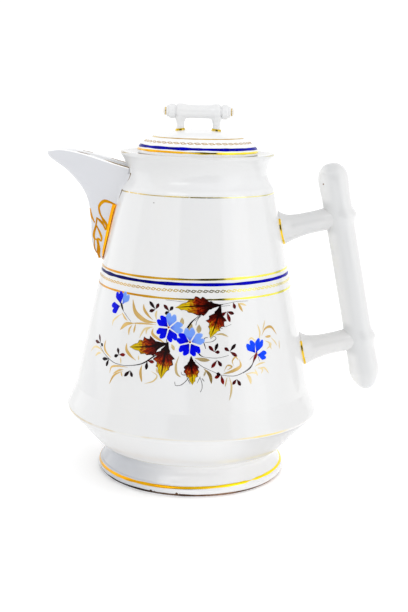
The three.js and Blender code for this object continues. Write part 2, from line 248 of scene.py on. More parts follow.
def turned(outline, facets=BODY_FACETS, matrix=None):
    """Vertices and faces of a closed outline turned about +Z, then moved by a matrix."""
    outline = supported(outline)
    vertices = []
    rings = []
    for r, z in outline:
        if r < 1e-6:
            rings.append([len(vertices)] * facets)
            vertices.append(Vector((0, 0, z)))
            continue
        rings.append(list(range(len(vertices), len(vertices) + facets)))
        for k in range(facets):
            angle = 2 * math.pi * k / facets
            vertices.append(Vector((r * math.cos(angle), r * math.sin(angle), z)))
    faces = []
    for i, ring in enumerate(rings):
        above = rings[(i + 1) % len(rings)]
        for k in range(facets):
            corners = [ring[k], ring[(k + 1) % facets], above[(k + 1) % facets], above[k]]
            corners = list(dict.fromkeys(corners))
            if len(corners) > 2:
                faces.append(corners)
    if matrix is not None:
        vertices = [matrix @ v for v in vertices]
    return vertices, faces


def stacked(sections):
    """Vertices and faces of closed sections with as many points each, capped at both ends."""
    count = len(sections[0])
    vertices = [v for section in sections for v in section]
    faces = []
    for i in range(len(sections) - 1):
        for k in range(count):
            a = i * count + k
            b = i * count + (k + 1) % count
            faces.append((a, b, b + count, a + count))
    last = (len(sections) - 1) * count
    faces.append(tuple(reversed(range(count))))
    faces.append(tuple(range(last, last + count)))
    return vertices, faces


def looped(sections):
    """Vertices and faces of closed sections that follow one another round a ring."""
    count = len(sections) * len(sections[0])
    vertices, faces = stacked([*sections, sections[0]])
    return vertices[:count], [tuple(v % count for v in face) for face in faces[:-2]]


# Materials


class Nodes:
    """Short calls for one material's node tree."""

    def __init__(self, name):
        self.material = bpy.data.materials.new(name)
        self.material.use_nodes = True
        self.tree = self.material.node_tree
        self.shader = self.tree.nodes["Principled BSDF"]
        self.place = self.add("ShaderNodeTexCoord").outputs["Object"]

    def add(self, kind, inputs=(), **settings):
        """A node, with its inputs fed by name or number."""
        node = self.tree.nodes.new(kind)
        for key, value in settings.items():
            setattr(node, key, value)
        for key, value in dict(inputs).items():
            self.feed(node.inputs[key], value)
        return node

    def feed(self, socket, value):
        if isinstance(value, bpy.types.NodeSocket):
            self.tree.links.new(value, socket)
        else:
            socket.default_value = value

    def noise(self, scale, detail=2.0, roughness=0.5, at=None):
        look = {"Vector": at or self.place, "Scale": scale, "Detail": detail, "Roughness": roughness}
        return self.add("ShaderNodeTexNoise", look).outputs["Fac"]

    def stretched(self, x, y, z):
        scaled = {"Vector": self.place, "Scale": (x, y, z)}
        return self.add("ShaderNodeMapping", scaled).outputs["Vector"]

    def maths(self, operation, a, b=0.0, c=0.0):
        return self.add("ShaderNodeMath", enumerate((a, b, c)), operation=operation).outputs[0]

    def blend(self, share, a, b):
        """One share of a and the rest of b."""
        parts = self.maths("MULTIPLY", a, share), self.maths("MULTIPLY", b, 1 - share)
        return self.maths("ADD", *parts)

    def sway(self, noise, amount, middle):
        """Moves a number up and down with a noise."""
        return self.maths("MULTIPLY_ADD", self.maths("SUBTRACT", noise, 0.5), amount, middle)

    def between(self, value, low, high, to_low=0.0, to_high=1.0):
        """Maps low..high on to to_low..to_high, smoothly and held at both ends."""
        ends = enumerate((value, low, high, to_low, to_high))
        return self.add("ShaderNodeMapRange", ends, interpolation_type="SMOOTHSTEP").outputs[0]

    def ramp(self, value, *stops):
        node = self.add("ShaderNodeValToRGB", {"Fac": value})
        elements = node.color_ramp.elements
        while len(elements) < len(stops):
            elements.new(1.0)
        for element, (place, colour) in zip(elements, stops):
            element.position = place
            element.color = (*colour, 1.0)
        return node.outputs["Color"]

    def mix(self, share, a, b):
        node = self.add("ShaderNodeMix", data_type="RGBA")
        colours = [s for s in node.inputs if s.type == "RGBA"]
        self.feed(node.inputs[0], share)
        for socket, colour in zip(colours, (a, b)):
            self.feed(socket, (*colour, 1.0) if isinstance(colour, tuple) else colour)
        return next(s for s in node.outputs if s.type == "RGBA")

    def painted(self, name):
        """A number that the painted patches carry at each of their points."""
        return self.add("ShaderNodeAttribute", attribute_name=name).outputs["Fac"]

    def axis(self, name):
        """One coordinate of the place, in metres in the frame."""
        return self.add("ShaderNodeSeparateXYZ", {0: self.place}).outputs[name]

    def across_pot(self, low, high):
        """Rises from 0 to 1 between two distances from the axis, the way the handle points."""
        return self.between(self.axis("X"), (pot_axis + low) * MM, (pot_axis + high) * MM)

    def up_pot(self, low, high):
        """Rises from 0 to 1 between two heights."""
        return self.between(self.axis("Z"), low * MM, high * MM)

    def bump(self, height, strength, distance, onto=None):
        relief = {"Height": height, "Strength": strength, "Distance": distance}
        if onto:
            relief["Normal"] = onto
        return self.add("ShaderNodeBump", relief).outputs["Normal"]

    def set(self, **values):
        names = {
            "colour": "Base Color",
            "roughness": "Roughness",
            "metallic": "Metallic",
            "normal": "Normal",
            "ior": "IOR",
            "shine": "Specular IOR Level",
            "light": "Emission Color",
            "glow": "Emission Strength",
        }
        for key, value in values.items():
            if isinstance(value, tuple) and len(value) == 3:
                value = (*value, 1.0)
            self.feed(self.shader.inputs[names[key]], value)
        return self.material


def glazed(n, colour):
    """A gloss, the slow waves of a hand-turned wall and the faint orange peel of its glaze."""
    waves = n.noise(22.0, 2.0, 0.45, n.stretched(1.0, 1.0, 0.45))
    peel = n.noise(420.0)
    normal = n.bump(peel, 0.10, 0.00012, n.bump(waves, 0.35, 0.0011))
    gloss = n.between(n.noise(60.0, 3.0, 0.6), 0.35, 0.7, 0.07, 0.13)
    return n.set(colour=colour, roughness=gloss, ior=1.5, normal=normal)


def porcelain(name, tint, other=None, change=(0, 0), upright=False):
    """Glossy white glaze with faint clouds, streaks of thicker glaze and a few iron specks. It
    can change to another tint across the pot or up it, as painted shade and painted light."""
    n = Nodes(name)
    clouds = n.noise(14.0, 3.0, 0.55)
    streaks = n.noise(46.0, 3.0, 0.6, n.stretched(1.0, 1.0, 0.12))
    shade = n.sway(streaks, 0.036, n.sway(clouds, 0.0396, 0.5))
    cool = tuple(c * f for c, f in zip(tint, (0.93, 0.955, 1.0)))
    warm = tuple(c * f for c, f in zip(tint, (1.03, 1.015, 0.985)))
    glaze = n.mix(n.between(shade, 0.42, 0.58), cool, warm)
    # Painted shade and painted light: the tint shifts across the pot or up it where light falls
    # unevenly
    if other:
        painted_light_share = n.up_pot(*change) if upright else n.across_pot(*change)
        glaze = n.mix(painted_light_share, glaze, other)
    specks = n.add("ShaderNodeTexVoronoi", {"Vector": n.place, "Scale": 95.0})
    rare = n.maths("GREATER_THAN", specks.outputs["Color"], 0.93)
    speck = n.maths("MULTIPLY", n.between(specks.outputs["Distance"], 0.035, 0.02), rare)
    iron = (0.16, 0.11, 0.08)
    return glazed(n, n.mix(n.maths("MULTIPLY", speck, 0.55), glaze, iron))


def stick_porcelain(name, arm, inner, middle, outer):
    """The stick's glaze, with painted light and shade across it: paler on the side towards the
    pot, darker down the middle, and like the arms beside them."""
    n = Nodes(name)
    clouds = n.between(n.noise(20.0, 3.0, 0.55), 0.35, 0.65)
    height = n.axis("Z")
    leaning = n.maths("ADD", n.axis("X"), n.maths("MULTIPLY", height, cone_slope))
    axis_line = pot_axis + shoulder_radius + grip_stand_off + shoulder_z * cone_slope
    aside = n.maths("SUBTRACT", leaning, axis_line * MM)
    beside = 0.0
    for _, drop in KNUCKLES:
        gap = n.maths("ABSOLUTE", n.maths("SUBTRACT", height, (lip_z - drop) * MM))
        beside = n.maths("MAXIMUM", beside, n.between(gap, 12 * MM, 7 * MM))
    glaze = n.mix(beside, inner, arm)
    glaze = n.mix(n.between(aside, -8.3 * MM, -2.2 * MM), glaze, middle)
    glaze = n.mix(n.between(aside, 1.0 * MM, 8.0 * MM), glaze, outer)
    return glazed(n, n.mix(n.maths("MULTIPLY", clouds, 0.05), glaze, (0.5, 0.52, 0.55)))


def gilding(name, gold, rubbed, wear, other=None, change=(-40, 45), matt=0.19):
    """Burnished gold that is rubbed away in patches, down to the glaze. It can turn to a paler,
    yellower shade on the side of the handle, a painted reflection of the bright windows there."""
    n = Nodes(name)
    patches = n.noise(26.0, 3.0, 0.65)
    scuffs = n.noise(300.0, 3.0, 0.6)
    left = n.between(n.blend(0.62, patches, scuffs), wear - 0.045, wear + 0.045)
    metal = n.mix(n.between(n.noise(70.0), 0.35, 0.7), gold, rubbed)
    # Painted reflection: the gold turns paler and yellower towards the handle.
    if other:
        metal = n.mix(n.across_pot(*change), metal, other)
    bare = (0.80, 0.785, 0.76)
    return n.set(
        colour=n.mix(left, bare, metal),
        metallic=n.maths("MULTIPLY", left, 0.96),
        roughness=n.between(n.noise(150.0), 0.3, 0.7, matt - 0.05, matt + 0.09),
        normal=n.bump(scuffs, 0.16, 0.00008),
    )


def stained(name):
    """The pale trace that worn-off gold leaves on the glaze, yellower towards the handle as a
    painted reflection.
    """
    n = Nodes(name)
    faint = n.mix(n.across_pot(-50, -5), (0.66, 0.57, 0.42), (0.70, 0.665, 0.60))
    # Painted reflection: the trace turns yellow towards the handle.
    yellow = n.mix(n.across_pot(20, 44), faint, (0.84, 0.68, 0.28))
    up_to_right = n.maths("SUBTRACT", 1.0, n.across_pot(22, 32))
    middle = n.maths("MULTIPLY", n.across_pot(-16, 2), up_to_right)
    patches = n.between(n.noise(45.0), 0.46, 0.62)
    gone = n.maths("MAXIMUM", patches, n.maths("MULTIPLY", middle, 0.7))
    gone = n.maths("MAXIMUM", gone, n.across_pot(50, 61))
    return n.set(colour=n.mix(gone, yellow, (0.74, 0.735, 0.72)), roughness=0.18, ior=1.5)


def enamel(name, thin, thick, gloss, shine, spout_side=None):
    """A brushed-on colour that is darker where the enamel lies thicker. It can be of another
    shade on the side of the spout."""
    n = Nodes(name)
    brush = n.noise(240.0, 3.0, 0.6)
    depth = n.blend(0.45, brush, n.noise(60.0))
    colour = n.mix(n.between(depth, 0.33, 0.62), thin, thick)
    if spout_side:
        colour = n.mix(n.across_pot(-34, -2), spout_side, colour)
    return n.set(colour=colour, roughness=gloss, shine=shine, normal=n.bump(brush, 0.25, 0.00006))


def petal_enamel(name, heart, middle, rim):
    """Petals are darkest at the heart, with fine rays and a paler rim."""
    n = Nodes(name)
    along = n.painted("along")
    fan = {0: n.painted("across"), 1: n.maths("MULTIPLY", along, 0.12)}
    rays = n.noise(9.0, at=n.add("ShaderNodeCombineXYZ", fan).outputs[0])
    reach = n.sway(rays, 0.5, along)
    colour = n.ramp(reach, (0.0, heart), (0.42, middle), (0.85, middle), (1.0, rim))
    return n.set(colour=colour, roughness=0.15, shine=0.04, normal=n.bump(rays, 0.2, 0.00006))


def leaf_enamel(name):
    """Autumn leaves run from a dark stalk through rust to an amber tip, with dark veins."""
    n = Nodes(name)
    along = n.painted("along")
    side = n.maths("ABSOLUTE", n.painted("across"))
    mottled = n.noise(520.0, 3.0, 0.6)
    base = n.ramp(
        n.sway(mottled, 0.55, along),
        (0.0, (0.004, 0.001, 0.001)),
        (0.24, (0.008, 0.0015, 0.001)),
        (0.40, (0.090, 0.004, 0.001)),
        (0.53, (0.25, 0.014, 0.001)),
        (0.62, (0.42, 0.13, 0.001)),
        (0.72, (0.64, 0.44, 0.004)),
        (1.0, (0.56, 0.38, 0.003)),
    )
    slanted = n.maths("MULTIPLY_ADD", side, -0.55, along)
    ribs = n.maths("FRACT", n.maths("MULTIPLY", slanted, 4.5))
    rib = n.between(n.maths("ABSOLUTE", n.maths("SUBTRACT", ribs, 0.5)), 0.34, 0.46)
    midrib = n.between(side, 0.18, 0.06)
    vein = n.maths("MAXIMUM", n.maths("MULTIPLY", rib, 0.9), midrib)
    edge = n.between(side, 0.80, 0.98, 0.0, 0.85)
    dark = n.maths("MAXIMUM", vein, edge)
    colour = n.mix(n.maths("MULTIPLY", dark, 0.95), base, (0.006, 0.002, 0.002))
    return n.set(colour=colour, roughness=0.17, shine=0.08, normal=n.bump(mottled, 0.2, 0.00006))


def bare_clay(name):
    """The ground edge of the foot, stained tan to nearly black, with painted shadow that
    darkens it towards the spout's side.
    """
    n = Nodes(name)
    stain = n.noise(38.0, 4.0, 0.7)
    grit = n.noise(900.0, 3.0, 0.7)
    colour = n.ramp(
        n.blend(0.7, stain, grit),
        (0.36, (0.035, 0.018, 0.010)),
        (0.47, (0.17, 0.085, 0.045)),
        (0.58, (0.34, 0.20, 0.12)),
        (0.72, (0.52, 0.40, 0.29)),
    )
    # Painted shadow: the clay turns nearly black towards the spout's side, where the foot's shadow
    # falls.
    clay_with_painted_shadow = n.mix(n.across_pot(-35, 15), (0.02, 0.010, 0.005), colour)
    return n.set(colour=clay_with_painted_shadow, roughness=0.78, shine=0.12, normal=n.bump(grit, 0.5, 0.0001))


def grey(level):
    return (level, level, level)


# Painted shade and light: the cone's and the bowl's glaze darken towards the handle's side, and the
# foot's is dark and bluish on the spout's side and pale on the handle's.
white = porcelain("white_glaze", (0.73, 0.73, 0.728), grey(0.69), (42, 62))
shaded_foot_white = porcelain("foot_glaze", (0.535, 0.55, 0.58), (0.80, 0.80, 0.805), (-46, 4))
shaded_bowl_white = porcelain("bowl_glaze", (0.735, 0.735, 0.733), (0.51, 0.51, 0.515), (12, 58))
# Painted light: the lid's glaze is paler, as if lit from above.
lit_lid_white = porcelain("lid_glaze", grey(0.90))
# Painted shade: the neck's glaze darkens towards the lip.
shaded_neck_white = porcelain("neck_glaze", grey(0.755), (0.672, 0.675, 0.678), (185, 198), upright=True)
# Painted shade: the spout's glaze is darker and bluer than the body's.
shaded_spout_white = porcelain("spout_glaze", (0.65, 0.655, 0.68))
# Painted light: the channel's glaze is paler, as if lit from above; the flower centres share it.
channel_white = porcelain("channel_glaze", grey(0.95))
# Painted shade: the arms' glazes are darker than the body's.
shaded_upper_arm_white = porcelain("upper_arm_glaze", grey(0.65))
shaded_lower_arm_white = porcelain("lower_arm_glaze", (0.69, 0.685, 0.68))
# Painted light and shade across the stick: paler towards the pot, darker down the middle.
lit_and_shaded_stick_white = stick_porcelain(
    "stick_glaze",
    arm=(0.66, 0.665, 0.665),
    inner=(0.84, 0.84, 0.835),
    middle=(0.63, 0.635, 0.64),
    outer=grey(0.70),
)
# Painted light: the knob's glaze is paler than the body's, as if lit from above.
lit_knob_white = porcelain("knob_glaze", grey(0.78))

# Painted reflection: the paler golds given for the handle's side stand in for the bright windows
# there.
reflected_lemon = (0.80, 0.74, 0.12)
orange = ((0.80, 0.36, 0.008), (0.86, 0.46, 0.02))
amber = ((0.60, 0.28, 0.001), (0.68, 0.35, 0.003))
lid_base_gold = gilding("lid_base_gold", *orange, 0.24, (0.94, 0.74, 0.05), (-28, 26))
foot_gold = gilding("foot_gold", *amber, 0.26, (1.0, 0.76, 0.01), (-20, 45))
line_gold = gilding("line_gold", (0.46, 0.20, 0.003), (0.52, 0.28, 0.014), 0.33, reflected_lemon)
worn_gold = gilding("worn_gold", (0.34, 0.24, 0.08), (0.50, 0.40, 0.18), 0.42, (0.62, 0.58, 0.30))
pale_gold = gilding("pale_gold", (0.42, 0.31, 0.10), (0.54, 0.42, 0.18), 0.38, (0.78, 0.74, 0.38))
chain_gold = gilding("chain_gold", (0.46, 0.27, 0.04), (0.58, 0.38, 0.10), 0.25, (0.78, 0.68, 0.16))
arm_gold = gilding("arm_gold", (0.66, 0.42, 0.01), (0.72, 0.50, 0.03), 0.24)
post_gold = gilding("post_gold", (0.50, 0.33, 0.01), (0.58, 0.41, 0.03), 0.22)
# Painted shade: near-black gold for the joint beside the spout.
painted_shade_gold = gilding("painted_shade_gold", (0.12, 0.030, 0.004), (0.20, 0.06, 0.008), 0.18)
seam_gold = gilding("seam_gold", (0.84, 0.34, 0.002), (0.96, 0.46, 0.004), 0.20)
spout_gold = gilding("spout_gold", (0.46, 0.18, 0.001), (0.62, 0.29, 0.002), 0.20)
# Painted shade: dark gold for the grooves beside the spout.
painted_groove_shade = gilding("painted_groove_shade", (0.17, 0.11, 0.05), (0.32, 0.23, 0.12), 0.26)
# Painted shade: dark brown gold for the spout's rim.
shaded_rim_gold = gilding("shaded_rim_gold", (0.16, 0.085, 0.02), (0.36, 0.23, 0.08), 0.30)
lid_gold = gilding("lid_gold", (0.52, 0.31, 0.008), (0.62, 0.43, 0.03), 0.24)
button_gold = gilding("button_gold", (0.70, 0.50, 0.16), (0.82, 0.66, 0.36), 0.38)
lid_chain_gold = gilding("lid_chain_gold", (0.42, 0.22, 0.015), (0.56, 0.34, 0.04), 0.22)
scroll_gold = gilding("scroll_gold", (0.47, 0.30, 0.09), (0.60, 0.41, 0.15), 0.20, matt=0.36)
faint_gold = gilding("faint_gold", (0.60, 0.46, 0.22), (0.68, 0.56, 0.32), 0.28, matt=0.38)
trace_gold = stained("trace_of_gold")

navy = (0.0, 0.0005, 0.10)
cobalt = enamel("cobalt_band", (0.0, 0.0, 0.50), (0.0, 0.0, 0.24), 0.13, 0.03)
body_cobalt = enamel("body_cobalt_band", (0.0, 0.0, 0.54), (0.0, 0.0, 0.26), 0.13, 0.03, navy)
stem_black = enamel("stem_enamel", (0.02, 0.008, 0.010), (0.003, 0.001, 0.002), 0.16, 0.05)
sprig_red = enamel("sprig_enamel", (0.20, 0.006, 0.004), (0.03, 0.002, 0.003), 0.16, 0.08)
eye_rust = enamel("eye_enamel", (0.42, 0.12, 0.01), (0.16, 0.03, 0.005), 0.16, 0.08)
petal_dark = petal_enamel("cobalt_petal", (0.0, 0.0, 0.18), (0.0, 0.002, 0.64), (0.0, 0.014, 0.80))
petal_mid = petal_enamel("blue_petal", (0.0, 0.004, 0.45), (0.004, 0.055, 0.86), (0.02, 0.11, 0.92))
petal_pale = petal_enamel("pale_petal", (0.06, 0.11, 0.66), (0.15, 0.29, 0.78), (0.24, 0.39, 0.82))
autumn = leaf_enamel("autumn_leaf")
clay = bare_clay("bare_clay")


# The body's outside


def neck_cove(wall, steps):
    depth = 3.5
    margin = 2.0
    half = (lip_z - shoulder_z) / 2 - margin
    radius = (half**2 + depth**2) / (2 * depth)
    angle = math.degrees(math.asin(half / radius))
    centre = (neck_waist_radius + radius, (lip_z + shoulder_z) / 2)
    return arc(centre, radius + wall, 180 + angle, 180 - angle, steps)


def cone_outside():
    """From the break up to the shoulder, with the break's rounded edge below."""
    edge = [
        (break_radius - 0.5, break_z),
        (break_radius - 0.08, break_z + 0.9),
        (break_radius - 0.25, break_z + 2.2),
        (break_radius - 1.35, break_z + 5.0),
        (break_radius - 3.3, break_z + 9.6),
        (flare_radius, flare_z),
    ]
    return [*spline(edge, 30), (shoulder_radius, shoulder_z)]


cone_line = cone_outside()
neck_line = [
    (shoulder_radius, shoulder_z),
    (shoulder_radius - 0.42, shoulder_z + 1.2),
    *neck_cove(0, 40)[1:],
    (lip_radius, lip_z - 1.6),
]


def radius_at(z):
    """Radius of the body's outside between the break and the lip."""
    line = cone_line + neck_line[1:]
    if z <= line[0][1]:
        return line[0][0]
    for low, high in zip(line, line[1:]):
        if low[1] <= z <= high[1] and high[1] > low[1]:
            return lerp(low[0], high[0], (z - low[1]) / (high[1] - low[1]))
    return line[-1][0]


def foot_outline():
    land = math.degrees(math.asin((foot_bead - foot_ground) / foot_bead))
    edge = arc(bead_centre, foot_bead, -land, 62, 16)
    top = (foot_top_radius, waist_z)
    cove = spline([edge[-2], edge[-1], (cove_radius, cove_z), top], 36)[12:]
    hollow = [
        (foot_top_radius - foot_wall, waist_z),
        (cove_radius - foot_wall, cove_z),
        (edge[0][0] - foot_wall + 0.8, 1.0),
        (edge[0][0] - foot_wall + 1.6, 0.0),
    ]
    return [*edge, *cove, *hollow]


def bowl_outline():
    slope = (break_radius - bowl_edge[0]) / (break_z - bowl_edge[1])
    inset = body_wall * math.hypot(1, slope)
    floor_z = waist_z + 4.5

    def inside(z):
        return break_radius - (break_z - z) * slope - inset

    return rounded(
        [
            (0, waist_z + 1.0, 0),
            (foot_top_radius - foot_wall - 4, waist_z, 2),
            (foot_top_radius - 0.4, waist_z, 0.3),
            (*bowl_edge, 1.0),
            (break_radius - 1.0, break_z - 1.1, 0.8),
            (break_radius - 0.5, break_z, 0),
            (break_radius - body_wall, break_z, 0),
            (inside(break_z - body_wall), break_z - body_wall, 3),
            (inside(floor_z), floor_z, 6),
            (0, floor_z, 0),
        ],
        10,
    )


def cone_outline():
    across = body_wall / math.cos(cone_tilt)
    return [
        *cone_line,
        (shoulder_radius - body_wall, shoulder_z),
        (flare_radius - across, flare_z),
        (break_radius - body_wall, break_z),
    ]


def neck_outline():
    inner = [p for p in reversed(neck_cove(body_wall, 40)) if shoulder_z + 1 < p[1] < ledge_z - 5.5]
    top = rounded(
        [
            (lip_radius, lip_z - 1.5, 0),
            (lip_radius, lip_z, 0.9),
            (lip_radius - 2.6, lip_z, 0.7),
            (seat_radius, seat_z, 0.4),
            (throat_radius, seat_z, 0.8),
            (throat_radius, ledge_z, 1.0),
            (neck_waist_radius - body_wall + 0.4, ledge_z - 5.5, 0),
        ]
    )
    return [*neck_line, *top, *inner, (shoulder_radius - body_wall, shoulder_z)]


def drill_strainer(cone):
    """Cuts the strainer's rows of holes through the wall behind the spout's channel."""
    hole = 4.0
    pitch = 6.5
    holes_by_drop = {28: 3, 36: 2, 44: 1, 52: 1}
    drills = bmesh.new()
    for drop, count in holes_by_drop.items():
        for i in range(count):
            z = lip_z - drop
            across = (i - (count - 1) / 2) * pitch
            place = Vector(to_row((-radius_at(z) + body_wall / 2, across, z)))
            turn = Matrix.Translation(place) @ Matrix.Rotation(math.pi / 2, 4, "Y")
            bmesh.ops.create_cone(
                drills,
                cap_ends=True,
                segments=24,
                radius1=hole / 2 * MM,
                radius2=hole / 2 * MM,
                depth=3 * body_wall * MM,
                matrix=turn,
            )
    mesh = bpy.data.meshes.new("drills")
    drills.to_mesh(mesh)
    drills.free()
    tool = bpy.data.objects.new("drills", mesh)
    bpy.context.scene.collection.objects.link(tool)
    cut = cone.modifiers.new("strainer", "BOOLEAN")
    cut.operation = "DIFFERENCE"
    cut.solver = "EXACT"
    cut.object = tool
    bpy.context.view_layer.update()
    ready = cone.evaluated_get(bpy.context.evaluated_depsgraph_get())
    drilled = bpy.data.meshes.new_from_object(ready)
    cone.modifiers.clear()
    cone.data = drilled
    bpy.data.objects.remove(tool)


def add_body():
    pieces = (
        ("glazed_foot", foot_outline(), shaded_foot_white, "foot_ring"),
        ("glazed_bowl", bowl_outline(), shaded_bowl_white, "lower_bowl"),
        ("glazed_cone", cone_outline(), white, "body_cone"),
        ("glazed_neck", neck_outline(), shaded_neck_white, "neck_collar"),
    )
    for name, outline, material, node in pieces:
        piece = add_piece(name, turned(outline), material, "pot", "porcelain", (node,))
        if node == "body_cone":
            drill_strainer(piece)


# The spout: an open channel with an even wall, set against the cone and the neck

spout_tip_drop = 1.7
spout_root_drop = 76.0
channel_root_drop = 68.0
spout_wall = 2.9
spout_bury = 6.0
mouth_half_width = 16.0
stem_half_width = 7.5
root_half_width = 4.0
mouth_drop = 16.0
stem_drop = 48.0


def keel_point(reach_share, drop_share):
    drop = lerp(spout_tip_drop, spout_root_drop, drop_share)
    return (shoulder_radius + spout_reach * reach_share, lip_z - drop)


keel_line = spline(
    [
        keel_point(0.1, 1.0),
        keel_point(0.365, 0.79),
        keel_point(0.4, 0.57),
        keel_point(0.465, 0.358),
        keel_point(0.69, 0.174),
        keel_point(0.965, 0.05),
        keel_point(1.0, 0.0),
    ],
    160,
)
rim_line = spline(
    [
        (shoulder_radius - 18, lip_z - 13.3),
        (shoulder_radius + spout_reach * 0.1, lip_z - 7.5),
        (shoulder_radius + spout_reach * 0.5, lip_z - 2.5),
        (shoulder_radius + spout_reach * 0.8, lip_z - 0.6),
        (shoulder_radius + spout_reach, lip_z - spout_tip_drop),
        (shoulder_radius + spout_reach + 18, lip_z - spout_tip_drop - 0.6),
    ],
    80,
)


def along_line(line, key, value, wanted):
    """Value at a key on a line whose keys rise."""
    if wanted <= line[0][key]:
        return line[0][value]
    for low, high in zip(line, line[1:]):
        if wanted <= high[key]:
            return lerp(low[value], high[value], (wanted - low[key]) / (high[key] - low[key]))
    return line[-1][value]


def keel_radius(z):
    return along_line(keel_line, 1, 0, z)


def channel_radius(z):
    """Reach of the channel's bottom at a height: a wall's thickness inside the keel."""
    level = min(z, lip_z - spout_tip_drop)
    near = [(r, h - level) for r, h in keel_line if abs(h - level) < spout_wall]
    return min(r - math.sqrt(spout_wall**2 - rise**2) for r, rise in near)


def spout_half_width(z):
    drop = lip_z - z
    narrowed = smoothstep(drop, mouth_drop, stem_drop)
    flared = lerp(mouth_half_width, stem_half_width, narrowed)
    taper = max(0.0, drop - stem_drop) / (spout_root_drop - stem_drop)
    return flared - (stem_half_width - root_half_width) * taper


def side_width(out, half):
    """Half width of a level section at a share of the way from the wall to the nose."""
    return half * max(0.0, 1 - out**1.3) ** (1 / 1.5)


def rim_height(radius):
    return along_line(rim_line, 0, 1, radius)


def spout_place(z, share, inner):
    """Radius out and half width at a level, with share 0 at the wall and 1 at the nose."""
    start = radius_at(z) - spout_bury
    nose = channel_radius(z) if inner else keel_radius(z)
    half = spout_half_width(z) - (spout_wall if inner else 0)
    length = max(0.3, nose - start)
    out = math.sin(share * math.pi / 2)
    return start + length * out, side_width(out, half)


def first_share(z, inner):
    """The share at which the section comes out of the pot's wall."""
    wanted = radius_at(z) - 2.4
    return meet(0.0, 1.0, 24, lambda share: spout_place(z, share, inner)[0] < wanted)[1]


def top_of(share_of_side, inner):
    """The height at which a column of the spout's side meets the rim."""

    def below_rim(z):
        share = lerp(first_share(z, inner), 1.0, share_of_side)
        return z < rim_height(spout_place(z, share, inner)[0])

    return meet(lip_z - 40.0, lip_z + 1.0, 30, below_rim)[0]


def spout_column(share_of_side, side, inner, levels):
    """Points from the root up to the rim, at one share of the way round the section."""
    bottom = lip_z - (channel_root_drop if inner else spout_root_drop)
    top = top_of(share_of_side, inner)
    column = []
    for i in range(levels + 1):
        z = lerp(bottom, top, (i / levels) ** 0.9)
        share = lerp(first_share(z, inner), 1.0, share_of_side)
        reach, width = spout_place(z, share, inner)
        column.append(Vector((-reach, side * width, z)))
    return column


def add_swept(name, steps, section, *settings, **more):
    """A piece through closed sections, which a function gives by their number from 0 to steps."""
    add_piece(name, stacked([section(i) for i in range(steps + 1)]), *settings, **more)


def rim_swell(outer, inner):
    """How high the rim's rounded top stands over the wall's edges."""
    return min(1.1, (outer - inner).length * 0.36)


def rim_spot(outer, inner, across, lift):
    """A place on the spout's rounded rim, across it from the outside at 0 to the inside at 1."""
    spot = outer.lerp(inner, across)
    spot.z += 2 * math.sqrt(across * (1 - across)) * rim_swell(outer, inner) + lift
    return spot


# Sections of the line along the rim, as shares across it and lifts, and their middles
NEAR_RIM = ((0.14, -0.02), (0.20, 0.14), (0.50, 0.20), (0.64, -0.02), (0.50, -0.3), (0.20, -0.3))
FAR_RIM = ((0.50, -0.02), (0.56, 0.08), (0.78, 0.08), (0.86, -0.02), (0.78, -0.3), (0.56, -0.3))
RIM_LINES = {"near": (NEAR_RIM, 0.46), "far": (FAR_RIM, 0.66)}


def add_rim_line(side, word):
    """A worn gilt line along the spout's rim, dark brown and widest near the wall as painted
    shade where the rim runs into the neck's hollow.
    """
    steps = 40
    cross, middle = RIM_LINES[word]

    def section(i):
        share = lerp(0.0, 0.86, i / steps)
        outer = spout_column(share, side, False, 1)[1]
        inner = spout_column(share, side, True, 1)[1]
        # Painted shade: the line is widest near the wall, where the neck's hollow shades the rim.
        dark = 1 - smoothstep(share, 0.12, 0.24)
        pale = 0.6 * smoothstep(share, 0.28, 0.33) * (1 - smoothstep(share, 0.38, 0.44))
        wide = max(0.1, dark, pale)
        sunk = 0.3 * smoothstep(wide, 0.45, 0.12)
        return [rim_spot(outer, inner, lerp(middle, x, wide), lift - sunk) for x, lift in cross]

    add_swept(f"gilt_rim_{word}", steps, section, shaded_rim_gold, sharp=70)


def spout_shell(inner, levels):
    """Columns round the spout, from the near side of its root by the nose to the far side."""
    around = 22
    shares = [(i / around) ** 0.85 for i in range(around + 1)]
    near = [spout_column(s, -1, inner, levels) for s in shares]
    return near + [spout_column(s, 1, inner, levels) for s in reversed(shares[:-1])]


def add_spout():
    """The walls, their rounded rim and, as a glaze of its own, the inside of the channel. That
    glaze is paler, painted light that also lies on the rim as a painted highlight.
    """
    levels = 56
    rim_steps = 5
    outer = spout_shell(False, levels)
    columns = outer + spout_shell(True, levels)[::-1]
    count = len(outer)
    sections = [[column[level] for column in columns] for level in range(levels + 1)]
    top = sections[-1]
    for k in range(1, rim_steps + 1):
        angle = math.pi / 2 * k / rim_steps
        inwards = (1 - math.cos(angle)) / 2
        raised = []
        for here, other in zip(top, reversed(top)):
            spot = here.lerp(other, inwards * 0.96)
            spot.z = lerp(here.z, other.z, inwards) + math.sin(angle) * rim_swell(here, other)
            raised.append(spot)
        sections.append(raised)
    shape = stacked(sections)
    piece = add_piece("glazed_spout", shape, shaded_spout_white, "pot", "porcelain", ("spout",), 60)
    # Painted light: the channel's inside and the rounded rim take the paler glaze.
    piece.data.materials.append(channel_white)
    for face in piece.data.polygons[:-2]:
        on_rim = face.index >= 2 * count * levels
        face.material_index = int(on_rim or face.index % (2 * count) >= count)


# The handle: a straight stick on two arms square to the cone

grip_top_drop = 4.8
grip_bottom_drop = 149.0
grip_radius = 8.9
arm_base_radius = 10.6


def cone_radius(z):
    return shoulder_radius + (shoulder_z - z) * cone_slope


def grip_point(drop):
    z = lip_z - drop
    return Vector((cone_radius(z) + grip_stand_off, 0, z))


def along_to(start, end):
    """Turns +Z to run from start to end."""
    turn = (end - start).to_track_quat("Z", "X")
    return Matrix.Translation(start) @ turn.to_matrix().to_4x4()


def along_grip(drop):
    """How far up the stick a place lies, from its lower end."""
    return (grip_bottom_drop - drop) / math.cos(cone_tilt)


